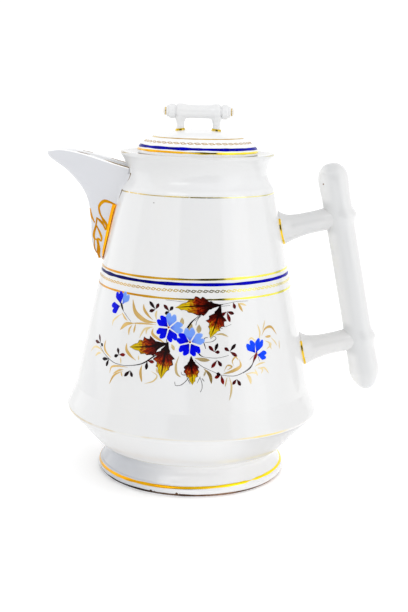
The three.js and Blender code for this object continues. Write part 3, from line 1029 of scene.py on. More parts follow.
def grip_outline():
    length = along_grip(grip_top_drop)
    upper, lower = (along_grip(drop) for _, drop in KNUCKLES)
    line = [
        (0.0, 0.0),
        (2.6, 0.45),
        (5.6, 2.9),
        (8.0, 6.6),
        (9.4, 11.0),
        (9.75, 14.5),
        (9.4, lower - 11.0),
        (9.15, lower - 4.0),
        (9.05, lower + 4.0),
        (grip_radius, lower + 10.0),
        (grip_radius, (lower + upper) / 2),
        (grip_radius, upper - 8.0),
        (9.0, upper),
        (8.9, upper + 7.5),
        (9.1, upper + 14.0),
        (9.45, length - 12.5),
        (9.3, length - 8.6),
        (7.9, length - 4.3),
        (5.0, length - 1.3),
        (2.2, length - 0.2),
        (0.0, length),
    ]
    return [(max(0.0, r), z) for r, z in spline(line, 260)]


def add_grip():
    """The stick, with a knuckle opposite each arm that fades towards the arm's own side."""
    knuckle_width = 3.5
    place = along_to(grip_point(grip_bottom_drop), grip_point(grip_top_drop))
    vertices, faces = turned(grip_outline(), SMALL_FACETS)
    upper, lower = (along_grip(drop) for _, drop in KNUCKLES)
    shaped = []
    for v in vertices:
        reach = math.hypot(v.x, v.y)
        if reach > 1:
            outer = 0.28 + 0.72 * max(0.0, v.x / reach) ** 0.8
            rise = 0.0
            for knuckle, height in ((lower, 1.6), (upper, 2.0)):
                rise += height * math.exp(-(((v.z - knuckle) / knuckle_width) ** 2))
            grown = (reach + rise * outer) / reach
            v = Vector((v.x * grown, v.y * grown, v.z))
        shaped.append(place @ v)
    shape = (shaped, faces)
    add_piece("glazed_grip", shape, lit_and_shaded_stick_white, "pot", "porcelain", ("handle_grip",), 70)


def arm_axes(knuckle_drop):
    """The arm's start on the cone, its direction and the direction of the stick."""
    out = Vector((math.cos(cone_tilt), 0, math.sin(cone_tilt)))
    up = Vector((-math.sin(cone_tilt), 0, math.cos(cone_tilt)))
    return grip_point(knuckle_drop) - out * (grip_stand_off * math.cos(cone_tilt)), out, up


def arm_line():
    """Half sizes of an arm above, below and beside its axis, by the way out from the cone."""
    stick = grip_stand_off * math.cos(cone_tilt) - grip_radius
    stations = [
        (-2.6, 10.9, 10.9, 10.9),
        (0.0, 10.7, 10.8, 10.7),
        (0.7, 10.4, 10.75, 10.6),
        (1.5, 9.5, 10.6, 9.9),
        (3.8, 8.0, 9.9, 8.6),
        (7.0, 7.0, 8.9, 7.4),
        (12.0, 6.5, 7.9, 6.85),
        (16.0, 6.5, 7.3, 6.7),
        (stick - 6.0, 6.6, 7.0, 6.8),
        (stick - 2.0, 6.9, 7.0, 7.0),
        (stick + 0.5, 7.2, 7.1, 7.5),
        (stick + 2.5, 7.5, 7.3, 8.0),
        (stick + 4.5, 7.7, 7.5, 8.4),
        (stick + 7.0, 7.7, 7.5, 8.75),
        (stick + 9.0, 7.5, 7.3, 8.7),
    ]
    return spline(stations, 90)


def arm_spot(axes, along, angle, half, lift=0.0):
    """A place round an arm: angle 0 is square to the handle's plane and 90 degrees is above."""
    start, out, up = axes
    above, below, beside = half
    tall = above if math.sin(angle) > 0 else below
    rise = (tall + lift) * math.sin(angle)
    aside = (beside + lift) * math.cos(angle)
    return start + out * along + up * rise + Vector((0, aside, 0))


def add_arm(word, knuckle_drop, glaze):
    axes = arm_axes(knuckle_drop)
    turns = [2 * math.pi * k / SMALL_FACETS for k in range(SMALL_FACETS)]
    sections = []
    for along, *half in arm_line():
        sections.append([arm_spot(axes, along, turn, half) for turn in turns])
    node = f"handle_{word}_arm"
    add_piece(f"glazed_{word}_arm", stacked(sections), glaze, "pot", "porcelain", (node,), 70)


# The lid and its knob


def dome_height(radius, axis=dome_axis, rise=lid_rise):
    return lid_z + rise * math.sqrt(max(0.0, 1 - (radius / axis) ** 2))


def dome_slope(radius):
    """How far the outside of the dome leans from level at a radius, in radians."""
    return math.atan(lid_rise * radius / (dome_axis**2 * math.sqrt(1 - (radius / dome_axis) ** 2)))


def lid_outline():
    hollow = lid_radius - lid_wall
    steps = 36
    last = math.asin(lid_radius / dome_axis)
    outer = []
    for i in range(steps + 1):
        r = dome_axis * math.sin(last * (1 - i / steps))
        outer.append((r, dome_height(r)))
    inner = []
    for i in range(steps + 1):
        r = hollow * math.sin(math.pi / 2 * i / steps)
        inner.append((r, dome_height(r, hollow, lid_rise - lid_wall)))
    edge = arc((lid_radius - 0.35, lid_z + 0.35), 0.35, -90, 0, 6)
    return [*inner, *edge, *outer]


def flange_outline():
    outside = lid_radius - 6.0
    inside = outside - 3.0
    bottom = lid_z - 9.0
    hollow = lid_radius - lid_wall
    top = dome_height(outside, hollow, lid_rise - lid_wall) + 0.4
    top_in = dome_height(inside, hollow, lid_rise - lid_wall) + 0.4
    foot = [(inside, bottom, 0.9), (outside, bottom, 1.1)]
    return rounded([*foot, (outside, top, 0), (inside, top_in, 0)])


def bar_outline():
    ring = post_x
    right = [
        (4.0, 0.0),
        (4.02, ring - 6.5),
        (4.15, ring - 3.9),
        (4.45, ring - 2.3),
        (4.7, ring - 0.9),
        (4.7, ring + 0.9),
        (4.35, ring + 1.9),
        (3.45, ring + 2.5),
        (3.5, ring + 3.0),
        (4.3, ring + 3.7),
        (4.45, ring + 4.9),
        (4.4, ring + 6.1),
        (3.9, ring + 6.9),
        (3.35, ring + 7.3),
        (3.5, ring + 7.75),
        (3.15, ring + 8.4),
        (2.3, ring + 8.75),
        (2.1, ring + 9.0),
        (2.45, ring + 9.4),
        (2.3, ring + 10.1),
        (1.4, knob_end - 0.12),
        (0.0, knob_end),
    ]
    right = [(max(0.0, r), z) for r, z in spline(right, 130)]
    left = [(r, -z) for r, z in reversed(right[1:])]
    return [*left, *right]


def post_outline():
    stand = dome_height(post_x)
    head = knob_z - 4.7
    line = [
        (2.8, stand - 1.6),
        (2.75, stand + 0.3),
        (2.55, stand + 1.2),
        (2.35, stand + 2.3),
        (2.35, stand + 3.8),
        (2.6, head - 1.2),
        (3.3, head + 0.6),
        (3.9, head + 2.2),
    ]
    return [(0, stand - 1.6), *spline(line, 40), (0, head + 2.2)]


def lying(side=1):
    """Lays an outline that was turned about +Z along the knob's bar."""
    return Matrix.Translation((0, 0, knob_z)) @ Matrix.Rotation(side * math.pi / 2, 4, "Y")


def add_lid():
    def add(name, shape, glaze, node, sharp):
        add_piece(name, shape, glaze, "lid", "porcelain", (node,), sharp)

    add("glazed_lid", turned(lid_outline()), lit_lid_white, "lid_dome", 60)
    add("glazed_flange", turned(flange_outline()), white, "lid_flange", 50)
    bar = turned(bar_outline(), SMALL_FACETS, lying())
    add("glazed_knob_bar", bar, lit_knob_white, "knob_bar", 70)
    for side, word in ENDS:
        post = turned(post_outline(), SMALL_FACETS, Matrix.Translation((side * post_x, 0, 0)))
        add(f"glazed_post_{word}", post, lit_knob_white, f"knob_post_{word}", 60)


# Painted rings


def straight(centre, lean):
    """Places up a straight outline. lean is its slope from upright in degrees, positive where it
    narrows upwards."""
    lean = math.radians(lean)
    up = Vector((-math.sin(lean), math.cos(lean)))
    out = Vector((math.cos(lean), math.sin(lean)))
    return lambda shift: (Vector(centre) + up * shift, out)


def curved(centre, radius, lean):
    """Places up a round outline, from the one whose slope from upright is lean."""

    def place(shift):
        angle = math.radians(lean) + shift / radius
        out = Vector((math.cos(angle), math.sin(angle)))
        return Vector(centre) + out * radius, out

    return place


def painted_ring(
    name,
    place,
    width,
    material,
    slot="gilding",
    body="pot",
    raised=0.06,
    wobble=0.1,
    tilt=0.0,
    part=(0, 360),
    thin=(),
):
    """A hand-painted band about the axis. It rises by tilt towards the handle, and part gives
    where it starts and ends, in degrees round from the front by way of the handle. It is thin
    at the places in thin, which are in degrees too."""
    first, last = part
    whole = last - first == 360
    facets = round(BAND_FACETS * (last - first) / 360)
    edge = ((-1, -0.12), (-1, raised * 0.4), (-0.4, raised))
    cross = [*edge, *[(-across, lift) for across, lift in reversed(edge)]]
    seed = Vector((*place(0)[0], 0))
    sections = []
    for k in range(facets + (not whole)):
        degrees = lerp(first, last, k / facets)
        angle = math.radians(degrees - 90)
        turn = Vector((math.cos(angle), math.sin(angle), 0))
        shift = noise.noise(turn * 2.3 + seed) * wobble + tilt * turn.x
        wide = width / 2 * (1 + 0.35 * noise.noise(turn * 6.1 - seed))
        for spot in thin:
            wide *= 1 - 0.8 * math.exp(-(((degrees - spot) / 3.5) ** 2))
        if not whole:
            wide *= 0.1 + 0.9 * smoothstep(min(k, facets - k), 0, 12)
        section = []
        for across, lift in cross:
            spot, out = place(shift + across * wide)
            spot = spot + out * lift
            section.append(Vector((spot.x * turn.x, spot.x * turn.y, spot.y)))
        sections.append(section)
    shape = looped(sections) if whole else stacked(sections)
    add_piece(name, shape, material, body, slot)


# Painted ornament


def around(angle, reach, z):
    """A place at a distance from the axis, an angle round to the right of the front."""
    return (reach * math.sin(angle), -reach * math.cos(angle), z)


def on_cone(u, z, lift):
    """A place on the cone, u millimetres round to the right of the front."""
    radius = cone_radius(z)
    reach = radius + lift * math.cos(cone_tilt)
    return around(u / radius, reach, z + lift * math.sin(cone_tilt))


def on_lid(u, radius, lift):
    """A place on the lid's dome, u millimetres round to the right of the front."""
    slope = dome_slope(radius)
    reach = radius + lift * math.sin(slope)
    return around(u / radius, reach, dome_height(radius) + lift * math.cos(slope))


def on_cheek(x, z, side):
    """The place on a side of the spout at an x and a height."""
    reach = -x
    start = radius_at(z) - spout_bury
    length = max(0.3, keel_radius(z) - start)
    out = min(0.995, max(0.0, (reach - start) / length))
    return Vector((x, side * side_width(out, spout_half_width(z)), z))


def on_spout(side):
    """Places on one side of the spout, by x and height."""
    step = 0.3

    def place(x, z, lift):
        here = on_cheek(x, z, side)
        across = on_cheek(x + step, z, side) - here
        above = on_cheek(x, z + step, side) - here
        out = across.cross(above).normalized()
        if out.y * side < 0:
            out = -out
        return here + out * lift

    return place


class Paint:
    """Thin closed patches of one colour on a surface."""

    def __init__(self, surface, lift):
        self.surface = surface
        self.lift = lift
        self.vertices = []
        self.faces = []
        self.along = []
        self.across = []

    def patch(self, steps, columns, spot):
        """One patch with a top, a bottom and a rim. spot gives its places from the share along
        it, 0 to 1, and the share across it, -1 to 1."""
        first = len(self.vertices)
        count = columns + 1
        layer = (steps + 1) * count
        places = []
        for i in range(steps + 1):
            for k in range(count):
                t = i / steps
                s = 2 * k / columns - 1
                places.append((*spot(t, s), t, s))
        for lift in (self.lift, -0.12):
            for u, v, t, s in places:
                self.vertices.append(self.surface(u, v, lift))
                self.along.append(t)
                self.across.append(s)
        for i in range(steps):
            for k in range(columns):
                a = first + i * count + k
                quad = (a, a + 1, a + 1 + count, a + count)
                self.faces.append(quad)
                self.faces.append(tuple(v + layer for v in reversed(quad)))
        rim = [first + k for k in range(count)]
        rim += [first + i * count + columns for i in range(1, steps + 1)]
        rim += [first + layer - 1 - k for k in range(1, count)]
        rim += [first + i * count for i in range(steps - 1, 0, -1)]
        for a, b in zip(rim, [*rim[1:], rim[0]]):
            self.faces.append((b, a, a + layer, b + layer))

    def stroke(self, points, width, fat=0.5, ends=0.18, steps=18):
        """A brush stroke, widest at the share called fat and thin at both ends."""
        line = spline(points, steps)
        power = math.log(0.5) / math.log(fat)

        def spot(t, s):
            i = round(t * steps)
            before = line[max(0, i - 1)]
            after = line[min(steps, i + 1)]
            way = Vector((after[0] - before[0], after[1] - before[1])).normalized()
            half = width / 2 * max(ends, math.sin(math.pi * t**power))
            return line[i][0] - way.y * half * s, line[i][1] + way.x * half * s

        self.patch(steps, 2, spot)

    def loop(self, centre, wide, tall, width):
        def spot(t, s):
            angle = 2 * math.pi * t
            u = centre[0] + (wide + s * width) / 2 * math.cos(angle)
            return u, centre[1] + (tall + s * width) / 2 * math.sin(angle)

        self.patch(14, 1, spot)

    def dot(self, centre, wide, tall=None):
        tall = tall or wide

        def spot(t, s):
            half = math.sqrt(max(0.02, 1 - (2 * t - 1) ** 2)) * tall / 2
            return centre[0] + (t - 0.5) * wide, centre[1] - half * s

        self.patch(6, 2, spot)

    def petal(self, heart, direction, length, width):
        """A heart-shaped petal that points away from the flower's heart."""
        way = math.radians(direction)
        out = Vector((math.cos(way), math.sin(way)))
        side = Vector((-out.y, out.x))

        def spot(t, s):
            spread = 0.06 + 0.94 * math.sin(min(1.0, t / 0.92) * math.pi / 2) ** 1.25
            lobe = 0.52 + 0.48 * math.sqrt(max(0.0, 1 - ((abs(s) - 0.47) / 0.56) ** 2))
            reach = length * (0.08 + 0.92 * t) * lerp(1.0, lobe, t)
            return Vector(heart) + out * reach + side * (s * spread * width / 2)

        self.patch(9, 12, spot)

    def leaf(self, base, tip, width, seed, bend=0.0):
        """A toothed leaf with pointed lobes on both sides."""
        chance = random.Random(seed)
        start = Vector(base)
        along = Vector(tip) - start
        length = along.length
        out = along.normalized()
        side = Vector((-out.y, out.x))
        edges = []
        for _ in range(2):
            edge = []
            for t, reach in LEAF_EDGE:
                shifted = t + chance.uniform(-0.012, 0.012) * (0 < t < 1)
                edge.append((shifted, reach * chance.uniform(0.86, 1.12)))
            edges.append(edge)

        def spot(t, s):
            bow = math.sin(math.pi * t) * length
            middle = start + out * (t * length) + side * (bend * bow)
            reach = along_line(edges[s > 0], 0, 1, t)
            return middle + side * (s * reach * width / 2) + out * (0.035 * abs(s) * bow)

        self.patch(44, 8, spot)

    def sprig(self, joint, *tips):
        """Small drop-shaped leaves that meet at a joint."""
        width = 2.0
        for tip in tips:
            points = [tuple(Vector(joint).lerp(Vector(tip), share)) for share in (0.06, 0.6, 1.12)]
            self.stroke(points, width, 0.6, 0.16, 10)

    def finish(self, name, material, slot="flower_enamel", body="pot"):
        piece = add_piece(name, (self.vertices, self.faces), material, body, slot)
        for attribute, values in (("along", self.along), ("across", self.across)):
            layer = piece.data.attributes.new(attribute, "FLOAT", "POINT")
            layer.data.foreach_set("value", values)


# Half width of a leaf by share of its length: a stalk, three toothed lobes and a pointed tip
LEAF_EDGE = (
    (0.0, 0.05),
    (0.08, 0.16),
    (0.15, 0.27),
    (0.21, 0.46),
    (0.24, 0.40),
    (0.31, 0.80),
    (0.37, 1.0),
    (0.40, 0.80),
    (0.47, 0.88),
    (0.53, 0.98),
    (0.56, 0.70),
    (0.63, 0.66),
    (0.69, 0.70),
    (0.72, 0.42),
    (0.80, 0.36),
    (0.85, 0.30),
    (0.92, 0.14),
    (1.0, 0.01),
)


def add_flowers():
    dark = Paint(on_cone, 0.10)
    middling = Paint(on_cone, 0.10)
    pale = Paint(on_cone, 0.09)
    centres = Paint(on_cone, 0.13)
    hearts = Paint(on_cone, 0.16)
    eyes = Paint(on_cone, 0.18)
    # two whole flowers side by side
    for heart, turn in (((-14.0, 105.5), 0), ((-1.3, 97.8), 18)):
        for direction in (140 + turn, 218 + turn * 0.8, 292 + turn * 0.6):
            dark.petal(heart, direction, 8.1, 6.5)
        for direction in (77 + turn, 4 + turn):
            pale.petal(heart, direction, 8.4, 6.7)
        for k in range(5):
            angle = math.radians(72 * k + turn)
            spot = (heart[0] + math.cos(angle) * 1.05, heart[1] + math.sin(angle) * 1.05)
            hearts.dot(spot, 0.42)
        centres.dot(heart, 2.3)
        eyes.dot((heart[0] - 0.1, heart[1] + 0.2), 1.35)
    # two buds seen from the side
    dark.petal((-47.8, 114.6), 108, 7.8, 7.2)
    dark.petal((-48.0, 114.0), 200, 8.4, 6.6)
    pale.petal((-46.6, 114.8), 60, 8.4, 6.0)
    for direction in (127, 66):
        middling.petal((39.6, 89.6), direction, 8.9, 6.2)
    middling.petal((40.2, 89.0), -10, 7.6, 5.4)
    dark.finish("painted_petals_dark", petal_dark)
    middling.finish("painted_petals_middle", petal_mid)
    pale.finish("painted_petals_pale", petal_pale)
    hearts.finish("painted_flower_hearts", stem_black)
    eyes.finish("painted_flower_eyes", eye_rust)
    centres.finish("painted_flower_centres", channel_white)


def add_leaves():
    leaves = Paint(on_cone, 0.08)
    leaves.leaf((16.4, 118.9), (-10.4, 117.2), 11.0, 3, -0.02)
    leaves.leaf((16.0, 118.9), (10.2, 100.4), 11.8, 5, 0.03)
    leaves.leaf((-14.6, 96.6), (-39.2, 91.8), 11.0, 8, 0.02)
    leaves.leaf((-14.3, 97.4), (-18.0, 76.2), 13.0, 11, -0.02)
    leaves.leaf((-0.5, 90.0), (0.7, 73.8), 10.2, 14)
    leaves.finish("painted_leaves", autumn)


def add_stems():
    """Brushed stems, and thin lines and curling tendrils of even width."""
    stems = Paint(on_cone, 0.06)
    for width, fat, ends, *points in (
        (0.75, 0.45, 0.4, (-15.6, 94.2), (-23.3, 88.1), (-31.0, 83.2), (-42.0, 80.6)),
        (0.55, 0.4, 0.5, (17.4, 119.3), (9.6, 116.8), (3.3, 113.0)),
        (1.0, 0.62, 0.25, (3.3, 113.0), (-1.0, 109.0), (-4.7, 103.2)),
        (1.7, 0.35, 0.2, (-47.6, 115.9), (-46.6, 113.6), (-45.2, 111.4)),
        (0.7, 0.3, 0.3, (3.2, 92.6), (4.9, 90.6), (7.0, 89.7)),
        (0.6, 0.3, 0.3, (38.0, 85.2), (35.6, 81.8), (31.0, 79.4)),
    ):
        stems.stroke(points, width, fat, ends)
    for width, *points in (
        (0.32, (-42.0, 80.6), (-51.0, 80.9), (-59.5, 83.8), (-66.0, 87.6)),
        (0.28, (4.7, 113.8), (1.1, 110.0)),
        (0.28, (5.8, 114.6), (2.6, 110.6), (1.8, 107.6)),
        (0.25, (-45.2, 111.4), (-42.6, 109.2), (-39.0, 106.4)),
        (0.22, (7.0, 89.7), (14.5, 89.0), (21.6, 90.2)),
        (0.25, (1.6, 88.0), (5.4, 84.7), (11.0, 82.0), (17.4, 79.2)),
        (0.30, (17.4, 79.2), (26.4, 78.4), (34.5, 81.6), (38.6, 85.6)),
        (0.22, (-16.4, 121.2), (-1.0, 120.4), (15.7, 119.4), (25.4, 120.5), (33.4, 120.4)),
        (0.2, (14.7, 118.2), (22.0, 118.6)),
        (0.2, (38.4, 89.0), (35.1, 86.5)),
        (0.2, (41.0, 88.6), (42.6, 85.0)),
        (0.5, (-15.1, 99.0), (-14.9, 96.0)),
        (0.35, (-1.5, 80.6), (-3.6, 79.4), (-5.6, 79.6), (-6.1, 81.0)),
        (0.35, (-1.0, 79.3), (-2.7, 76.5), (-5.8, 73.7), (-9.1, 73.2), (-9.7, 75.3)),
        (0.3, (-2.7, 77.9), (-0.7, 74.4)),
        (0.3, (5.0, 78.5), (3.3, 74.9)),
        (0.32, (5.0, 78.0), (6.1, 74.9), (6.2, 71.8), (5.2, 69.8)),
        (0.4, (6.0, 77.6), (7.4, 76.0)),
        (0.45, (6.4, 97.6), (7.0, 100.2), (8.8, 100.8)),
        (0.5, (6.6, 98.0), (7.8, 94.4)),
        (0.3, (7.4, 97.9), (11.5, 98.4), (13.7, 100.1), (12.4, 101.4), (10.4, 99.8)),
        (0.6, (14.3, 108.6), (17.4, 107.4)),
        (0.4, (15.3, 106.4), (17.5, 105.6)),
        (0.22, (16.3, 113.2), (15.7, 109.6), (18.4, 106.6), (22.8, 107.8)),
    ):
        stems.stroke(points, width, 0.4, 0.7, 24)
    stems.finish("painted_stems", stem_black)


def add_sprigs():
    """Small leaves in twos and threes: for each group the joint, then the tips."""
    sprigs = Paint(on_cone, 0.07)
    black = Paint(on_cone, 0.08)
    for paint, joint, *tips in (
        (sprigs, (-22.4, 115.2), (-20.6, 118.4), (-25.9, 113.9)),
        (black, (-22.4, 115.2), (-26.0, 119.0)),
        (sprigs, (-13.9, 114.9), (-17.0, 118.0)),
        (black, (-13.9, 114.9), (-12.0, 117.4), (-16.2, 113.3)),
        (sprigs, (-65.6, 89.2), (-67.9, 93.4), (-71.9, 89.2)),
        (black, (-65.6, 89.2), (-63.0, 88.4)),
        (black, (-47.2, 86.0), (-48.3, 89.4), (-50.6, 84.6)),
        (sprigs, (-47.2, 86.0), (-42.8, 86.8)),
        (black, (-55.6, 82.1), (-61.4, 81.0), (-57.7, 78.0)),
        (sprigs, (-26.8, 85.6), (-22.8, 85.3)),
        (black, (-26.8, 85.6), (-27.3, 81.0)),
        (black, (-38.0, 78.6), (-41.8, 75.0), (-36.7, 75.4)),
        (sprigs, (19.8, 115.2), (16.6, 113.0), (23.9, 113.8), (21.8, 109.8)),
        (sprigs, (23.7, 120.2), (24.9, 116.9)),
        (sprigs, (13.0, 92.4), (9.9, 95.6), (15.8, 92.3)),
        (black, (13.0, 92.4), (14.6, 96.8)),
        (sprigs, (22.2, 92.4), (19.3, 94.4), (26.4, 89.7)),
        (black, (22.2, 92.4), (25.5, 96.0)),
        (sprigs, (14.8, 87.9), (11.8, 84.0), (17.2, 84.6)),
        (sprigs, (17.2, 79.4), (13.9, 77.9), (18.6, 74.5)),
        (black, (17.2, 79.4), (14.8, 80.2)),
        (sprigs, (27.0, 76.4), (24.7, 73.8), (29.3, 72.9)),
        (sprigs, (37.2, 84.0), (40.2, 89.8)),
    ):
        paint.sprig(joint, *tips)
    sprigs.finish("painted_sprigs_red", sprig_red)
    black.finish("painted_sprigs_black", stem_black)


def add_scrolls():
    """Gilt scrolls: tapered leaf strokes by width and points, some bold and some faint."""
    bold = Paint(on_cone, 0.04)
    faint = Paint(on_cone, 0.04)
    for paint, width, *points in (
        (bold, 2.2, (-21.9, 107.8), (-29.0, 108.2), (-35.9, 112.2), (-38.1, 119.0)),
        (bold, 1.3, (-24.0, 109.1), (-27.1, 111.4), (-29.8, 114.5), (-30.3, 117.4)),
        (faint, 0.9, (-21.5, 109.3), (-22.2, 112.0), (-21.4, 114.8)),
        (bold, 0.9, (-41.6, 106.4), (-43.9, 107.9), (-46.2, 110.4)),
        (faint, 0.8, (-45.8, 110.0), (-50.6, 107.2), (-53.9, 104.4), (-54.4, 101.6)),
        (bold, 0.7, (-21.9, 106.6), (-30.0, 106.4), (-37.9, 105.6)),
        (bold, 1.6, (-36.5, 105.7), (-42.5, 104.4), (-47.2, 100.4)),
        (bold, 0.9, (-35.4, 105.6), (-36.1, 102.7), (-36.6, 100.2)),
        (bold, 0.9, (-37.9, 104.6), (-40.0, 101.7), (-40.2, 98.4)),
        (faint, 0.7, (-24.8, 104.8), (-27.6, 103.2), (-28.1, 100.4)),
        (faint, 0.8, (-22.9, 105.3), (-29.0, 103.4), (-32.5, 97.8)),
        (bold, 1.3, (-23.6, 104.4), (-23.6, 100.8), (-16.6, 96.9)),
        (bold, 1.3, (-53.8, 83.2), (-58.8, 85.4), (-60.9, 88.2), (-60.0, 92.2)),
        (bold, 1.6, (-34.5, 84.9), (-38.4, 87.0), (-41.4, 89.9), (-41.4, 93.6)),
        (faint, 0.9, (-61.1, 84.2), (-67.0, 86.2), (-73.5, 85.4), (-78.4, 81.6)),
        (faint, 1.0, (-63.7, 84.0), (-67.5, 83.0), (-70.9, 80.7)),
        (faint, 0.6, (-32.6, 88.0), (-32.5, 85.2)),
        (faint, 0.6, (-45.8, 85.0), (-45.3, 81.2)),
        (bold, 0.8, (-40.1, 80.0), (-47.0, 79.6), (-52.8, 78.0), (-54.3, 74.3)),
        (bold, 0.8, (-43.0, 78.2), (-46.6, 77.2), (-51.4, 74.4)),
        (bold, 0.9, (-43.6, 77.2), (-50.3, 73.7), (-54.1, 68.0)),
        (bold, 0.7, (-45.0, 76.9), (-43.9, 74.1)),
        (bold, 1.3, (-30.3, 82.6), (-31.0, 78.2), (-29.9, 73.0)),
        (faint, 0.6, (-24.1, 79.9), (-20.4, 77.8), (-22.8, 74.4), (-28.0, 72.5)),
        (faint, 0.6, (-21.1, 82.4), (-20.2, 79.2)),
        (faint, 1.1, (-7.6, 89.7), (-9.2, 84.7), (-8.7, 80.1), (-6.2, 78.0)),
        (faint, 1.4, (-12.2, 96.4), (-10.4, 93.0)),
        (faint, 1.9, (-6.3, 111.7), (-6.2, 107.3)),
        (faint, 2.0, (-0.5, 108.4), (-2.1, 104.0)),
        (faint, 2.2, (3.7, 108.0), (3.5, 103.2)),
        (faint, 1.7, (1.6, 89.0), (6.2, 88.2), (10.4, 87.8)),
        (bold, 1.5, (7.0, 83.1), (10.6, 79.4), (11.7, 74.5)),
        (faint, 0.7, (8.2, 82.4), (7.1, 78.7)),
        (bold, 1.5, (28.4, 87.4), (29.2, 83.6), (24.6, 81.3), (18.8, 79.9)),
        (bold, 0.7, (19.0, 81.3), (21.0, 84.5), (23.8, 83.6), (21.0, 82.0)),
        (bold, 0.7, (24.8, 84.1), (24.0, 86.8), (25.9, 89.0), (27.9, 87.0)),
        (faint, 0.9, (22.0, 78.2), (23.7, 73.4), (23.6, 68.9), (22.6, 64.6)),
        (faint, 0.6, (21.0, 78.0), (19.8, 72.5)),
        (faint, 1.5, (33.0, 78.6), (35.4, 76.3), (36.5, 72.6)),
        (faint, 0.6, (32.6, 78.9), (37.9, 79.0), (40.4, 78.1)),
        (faint, 0.7, (39.0, 82.3), (42.4, 83.6), (46.9, 83.9)),
        (faint, 0.7, (41.2, 81.7), (44.6, 80.0), (43.8, 77.8)),
        (faint, 0.7, (41.2, 81.0), (46.2, 80.7), (49.6, 77.1)),
        (faint, 0.7, (39.0, 80.9), (41.2, 76.9)),
        (faint, 0.8, (41.4, 96.6), (42.5, 101.3), (40.6, 106.3)),
        (bold, 1.1, (44.0, 99.5), (46.8, 103.2), (52.0, 103.4), (56.9, 98.4)),
        (faint, 0.6, (46.6, 108.2), (44.7, 102.4)),
        (bold, 1.1, (46.6, 98.4), (51.7, 98.2)),
        (faint, 0.9, (46.6, 96.3), (51.6, 93.5), (47.9, 91.3)),
        (faint, 0.6, (51.3, 97.6), (55.0, 94.6), (57.3, 91.8)),
        (faint, 0.6, (49.3, 95.2), (52.2, 90.5)),
        (faint, 0.5, (59.4, 94.6), (59.5, 89.6)),
        (faint, 0.6, (33.8, 97.5), (36.3, 99.0), (39.4, 96.7)),
        (faint, 0.8, (13.1, 102.1), (17.1, 102.5), (21.1, 100.8)),
        (bold, 1.1, (26.9, 119.8), (28.1, 117.6), (30.1, 114.5)),
        (faint, 0.8, (26.8, 119.4), (29.7, 118.9), (32.5, 117.8)),
    ):
        paint.stroke(points, width * 1.25 + 0.1, 0.55, 0.16)
    bold.finish("gilt_scrolls", scroll_gold, "gilding")
    faint.finish("gilt_scrolls_faint", faint_gold, "gilding")


def add_chain(name, surface, level, radius, links, material, body):
    """Small loops and dots that alternate round the pot."""
    paint = Paint(surface, 0.05)
    pitch = 2 * math.pi * radius / links
    chance = random.Random(links)
    for k in range(links):
        u = (k - links / 2) * pitch
        rise = level + chance.uniform(-0.08, 0.08)
        paint.loop((u, rise), pitch * 0.52, 1.3, 0.46)
        for share, lift in ((0.38, 0.32), (0.62, -0.32)):
            paint.dot((u + pitch * share, rise + lift), 1.05, 0.6)
    paint.finish(name, material, "gilding", body)


def add_spout_scrolls(side, word):
    """Looped scrolls on one side of the spout."""
    paint = Paint(on_spout(side), 0.07)
    for width, *points in (
        (1.25, (-49.8, 170.0), (-53.4, 171.6), (-57.4, 171.9), (-60.4, 168.2), (-59.8, 163.6)),
        (1.15, (-59.8, 163.6), (-57.9, 160.2), (-55.9, 157.2), (-55.7, 154.0)),
        (1.0, (-56.2, 153.6), (-58.0, 157.3), (-60.3, 159.7), (-61.8, 160.8)),
        (0.95, (-61.9, 161.2), (-62.6, 156.0), (-64.0, 150.4), (-63.3, 147.4), (-61.0, 147.6)),
        (0.9, (-62.6, 156.6), (-60.4, 152.6), (-58.9, 148.6), (-59.2, 146.2)),
        (0.8, (-59.2, 146.2), (-60.6, 147.6), (-61.8, 148.0)),
        (0.8, (-66.4, 166.5), (-65.4, 161.6), (-63.4, 157.8)),
        (1.5, (-61.6, 147.2), (-60.9, 142.4), (-61.1, 138.2), (-60.4, 135.2)),
        (0.6, (-63.6, 147.0), (-63.7, 142.0), (-62.4, 138.4)),
    ):
        paint.stroke(points, width * 1.65, 0.5, 0.62)
    paint.finish(f"gilt_spout_scrolls_{word}", spout_gold, "gilding")


def seam_place(z):
    """Reach and half width where the spout's side meets the round wall, and the share there."""

    def inside(share):
        return math.hypot(*spout_place(z, share, False)) < radius_at(z)

    share = meet(0.0, 1.0, 24, inside)[1]
    return *spout_place(z, share, False), share


def seam_corner(z, side, reach_out):
    """The corner between spout and wall at a level, places that far out along each, and the
    direction out of the corner between them."""
    reach, width, share = seam_place(z)
    out_reach, out_width = spout_place(z, min(1.0, share + 0.10), False)
    corner = Vector((-reach, side * width, z))
    way = Vector((-out_reach, side * out_width, z)) - corner
    on_side = corner + way.normalized() * min(reach_out, way.length)
    turn = math.atan2(width, reach) + 0.8 * reach_out / radius_at(z)
    on_wall = Vector((-math.cos(turn) * radius_at(z), side * math.sin(turn) * radius_at(z), z))
    return corner, on_side, on_wall, (on_side + on_wall - 2 * corner).normalized()


def add_seam_line(side, word):
    """The gilt line in the corner between the spout and the cone."""
    steps = 32

    def section(i):
        z = lerp(134.6, 170.3, i / steps)
        corner, on_side, on_wall, outward = seam_corner(z, side, lerp(1.7, 2.5, i / steps))
        middle = corner + outward * 0.35
        lift = outward * 0.16
        top = [on_side + lift, middle + lift, on_wall + lift]
        return [*top, on_wall - lift * 2, corner - outward * 0.5, on_side - lift * 2]

    add_swept(f"gilt_seam_{word}", steps, section, seam_gold, sharp=80)


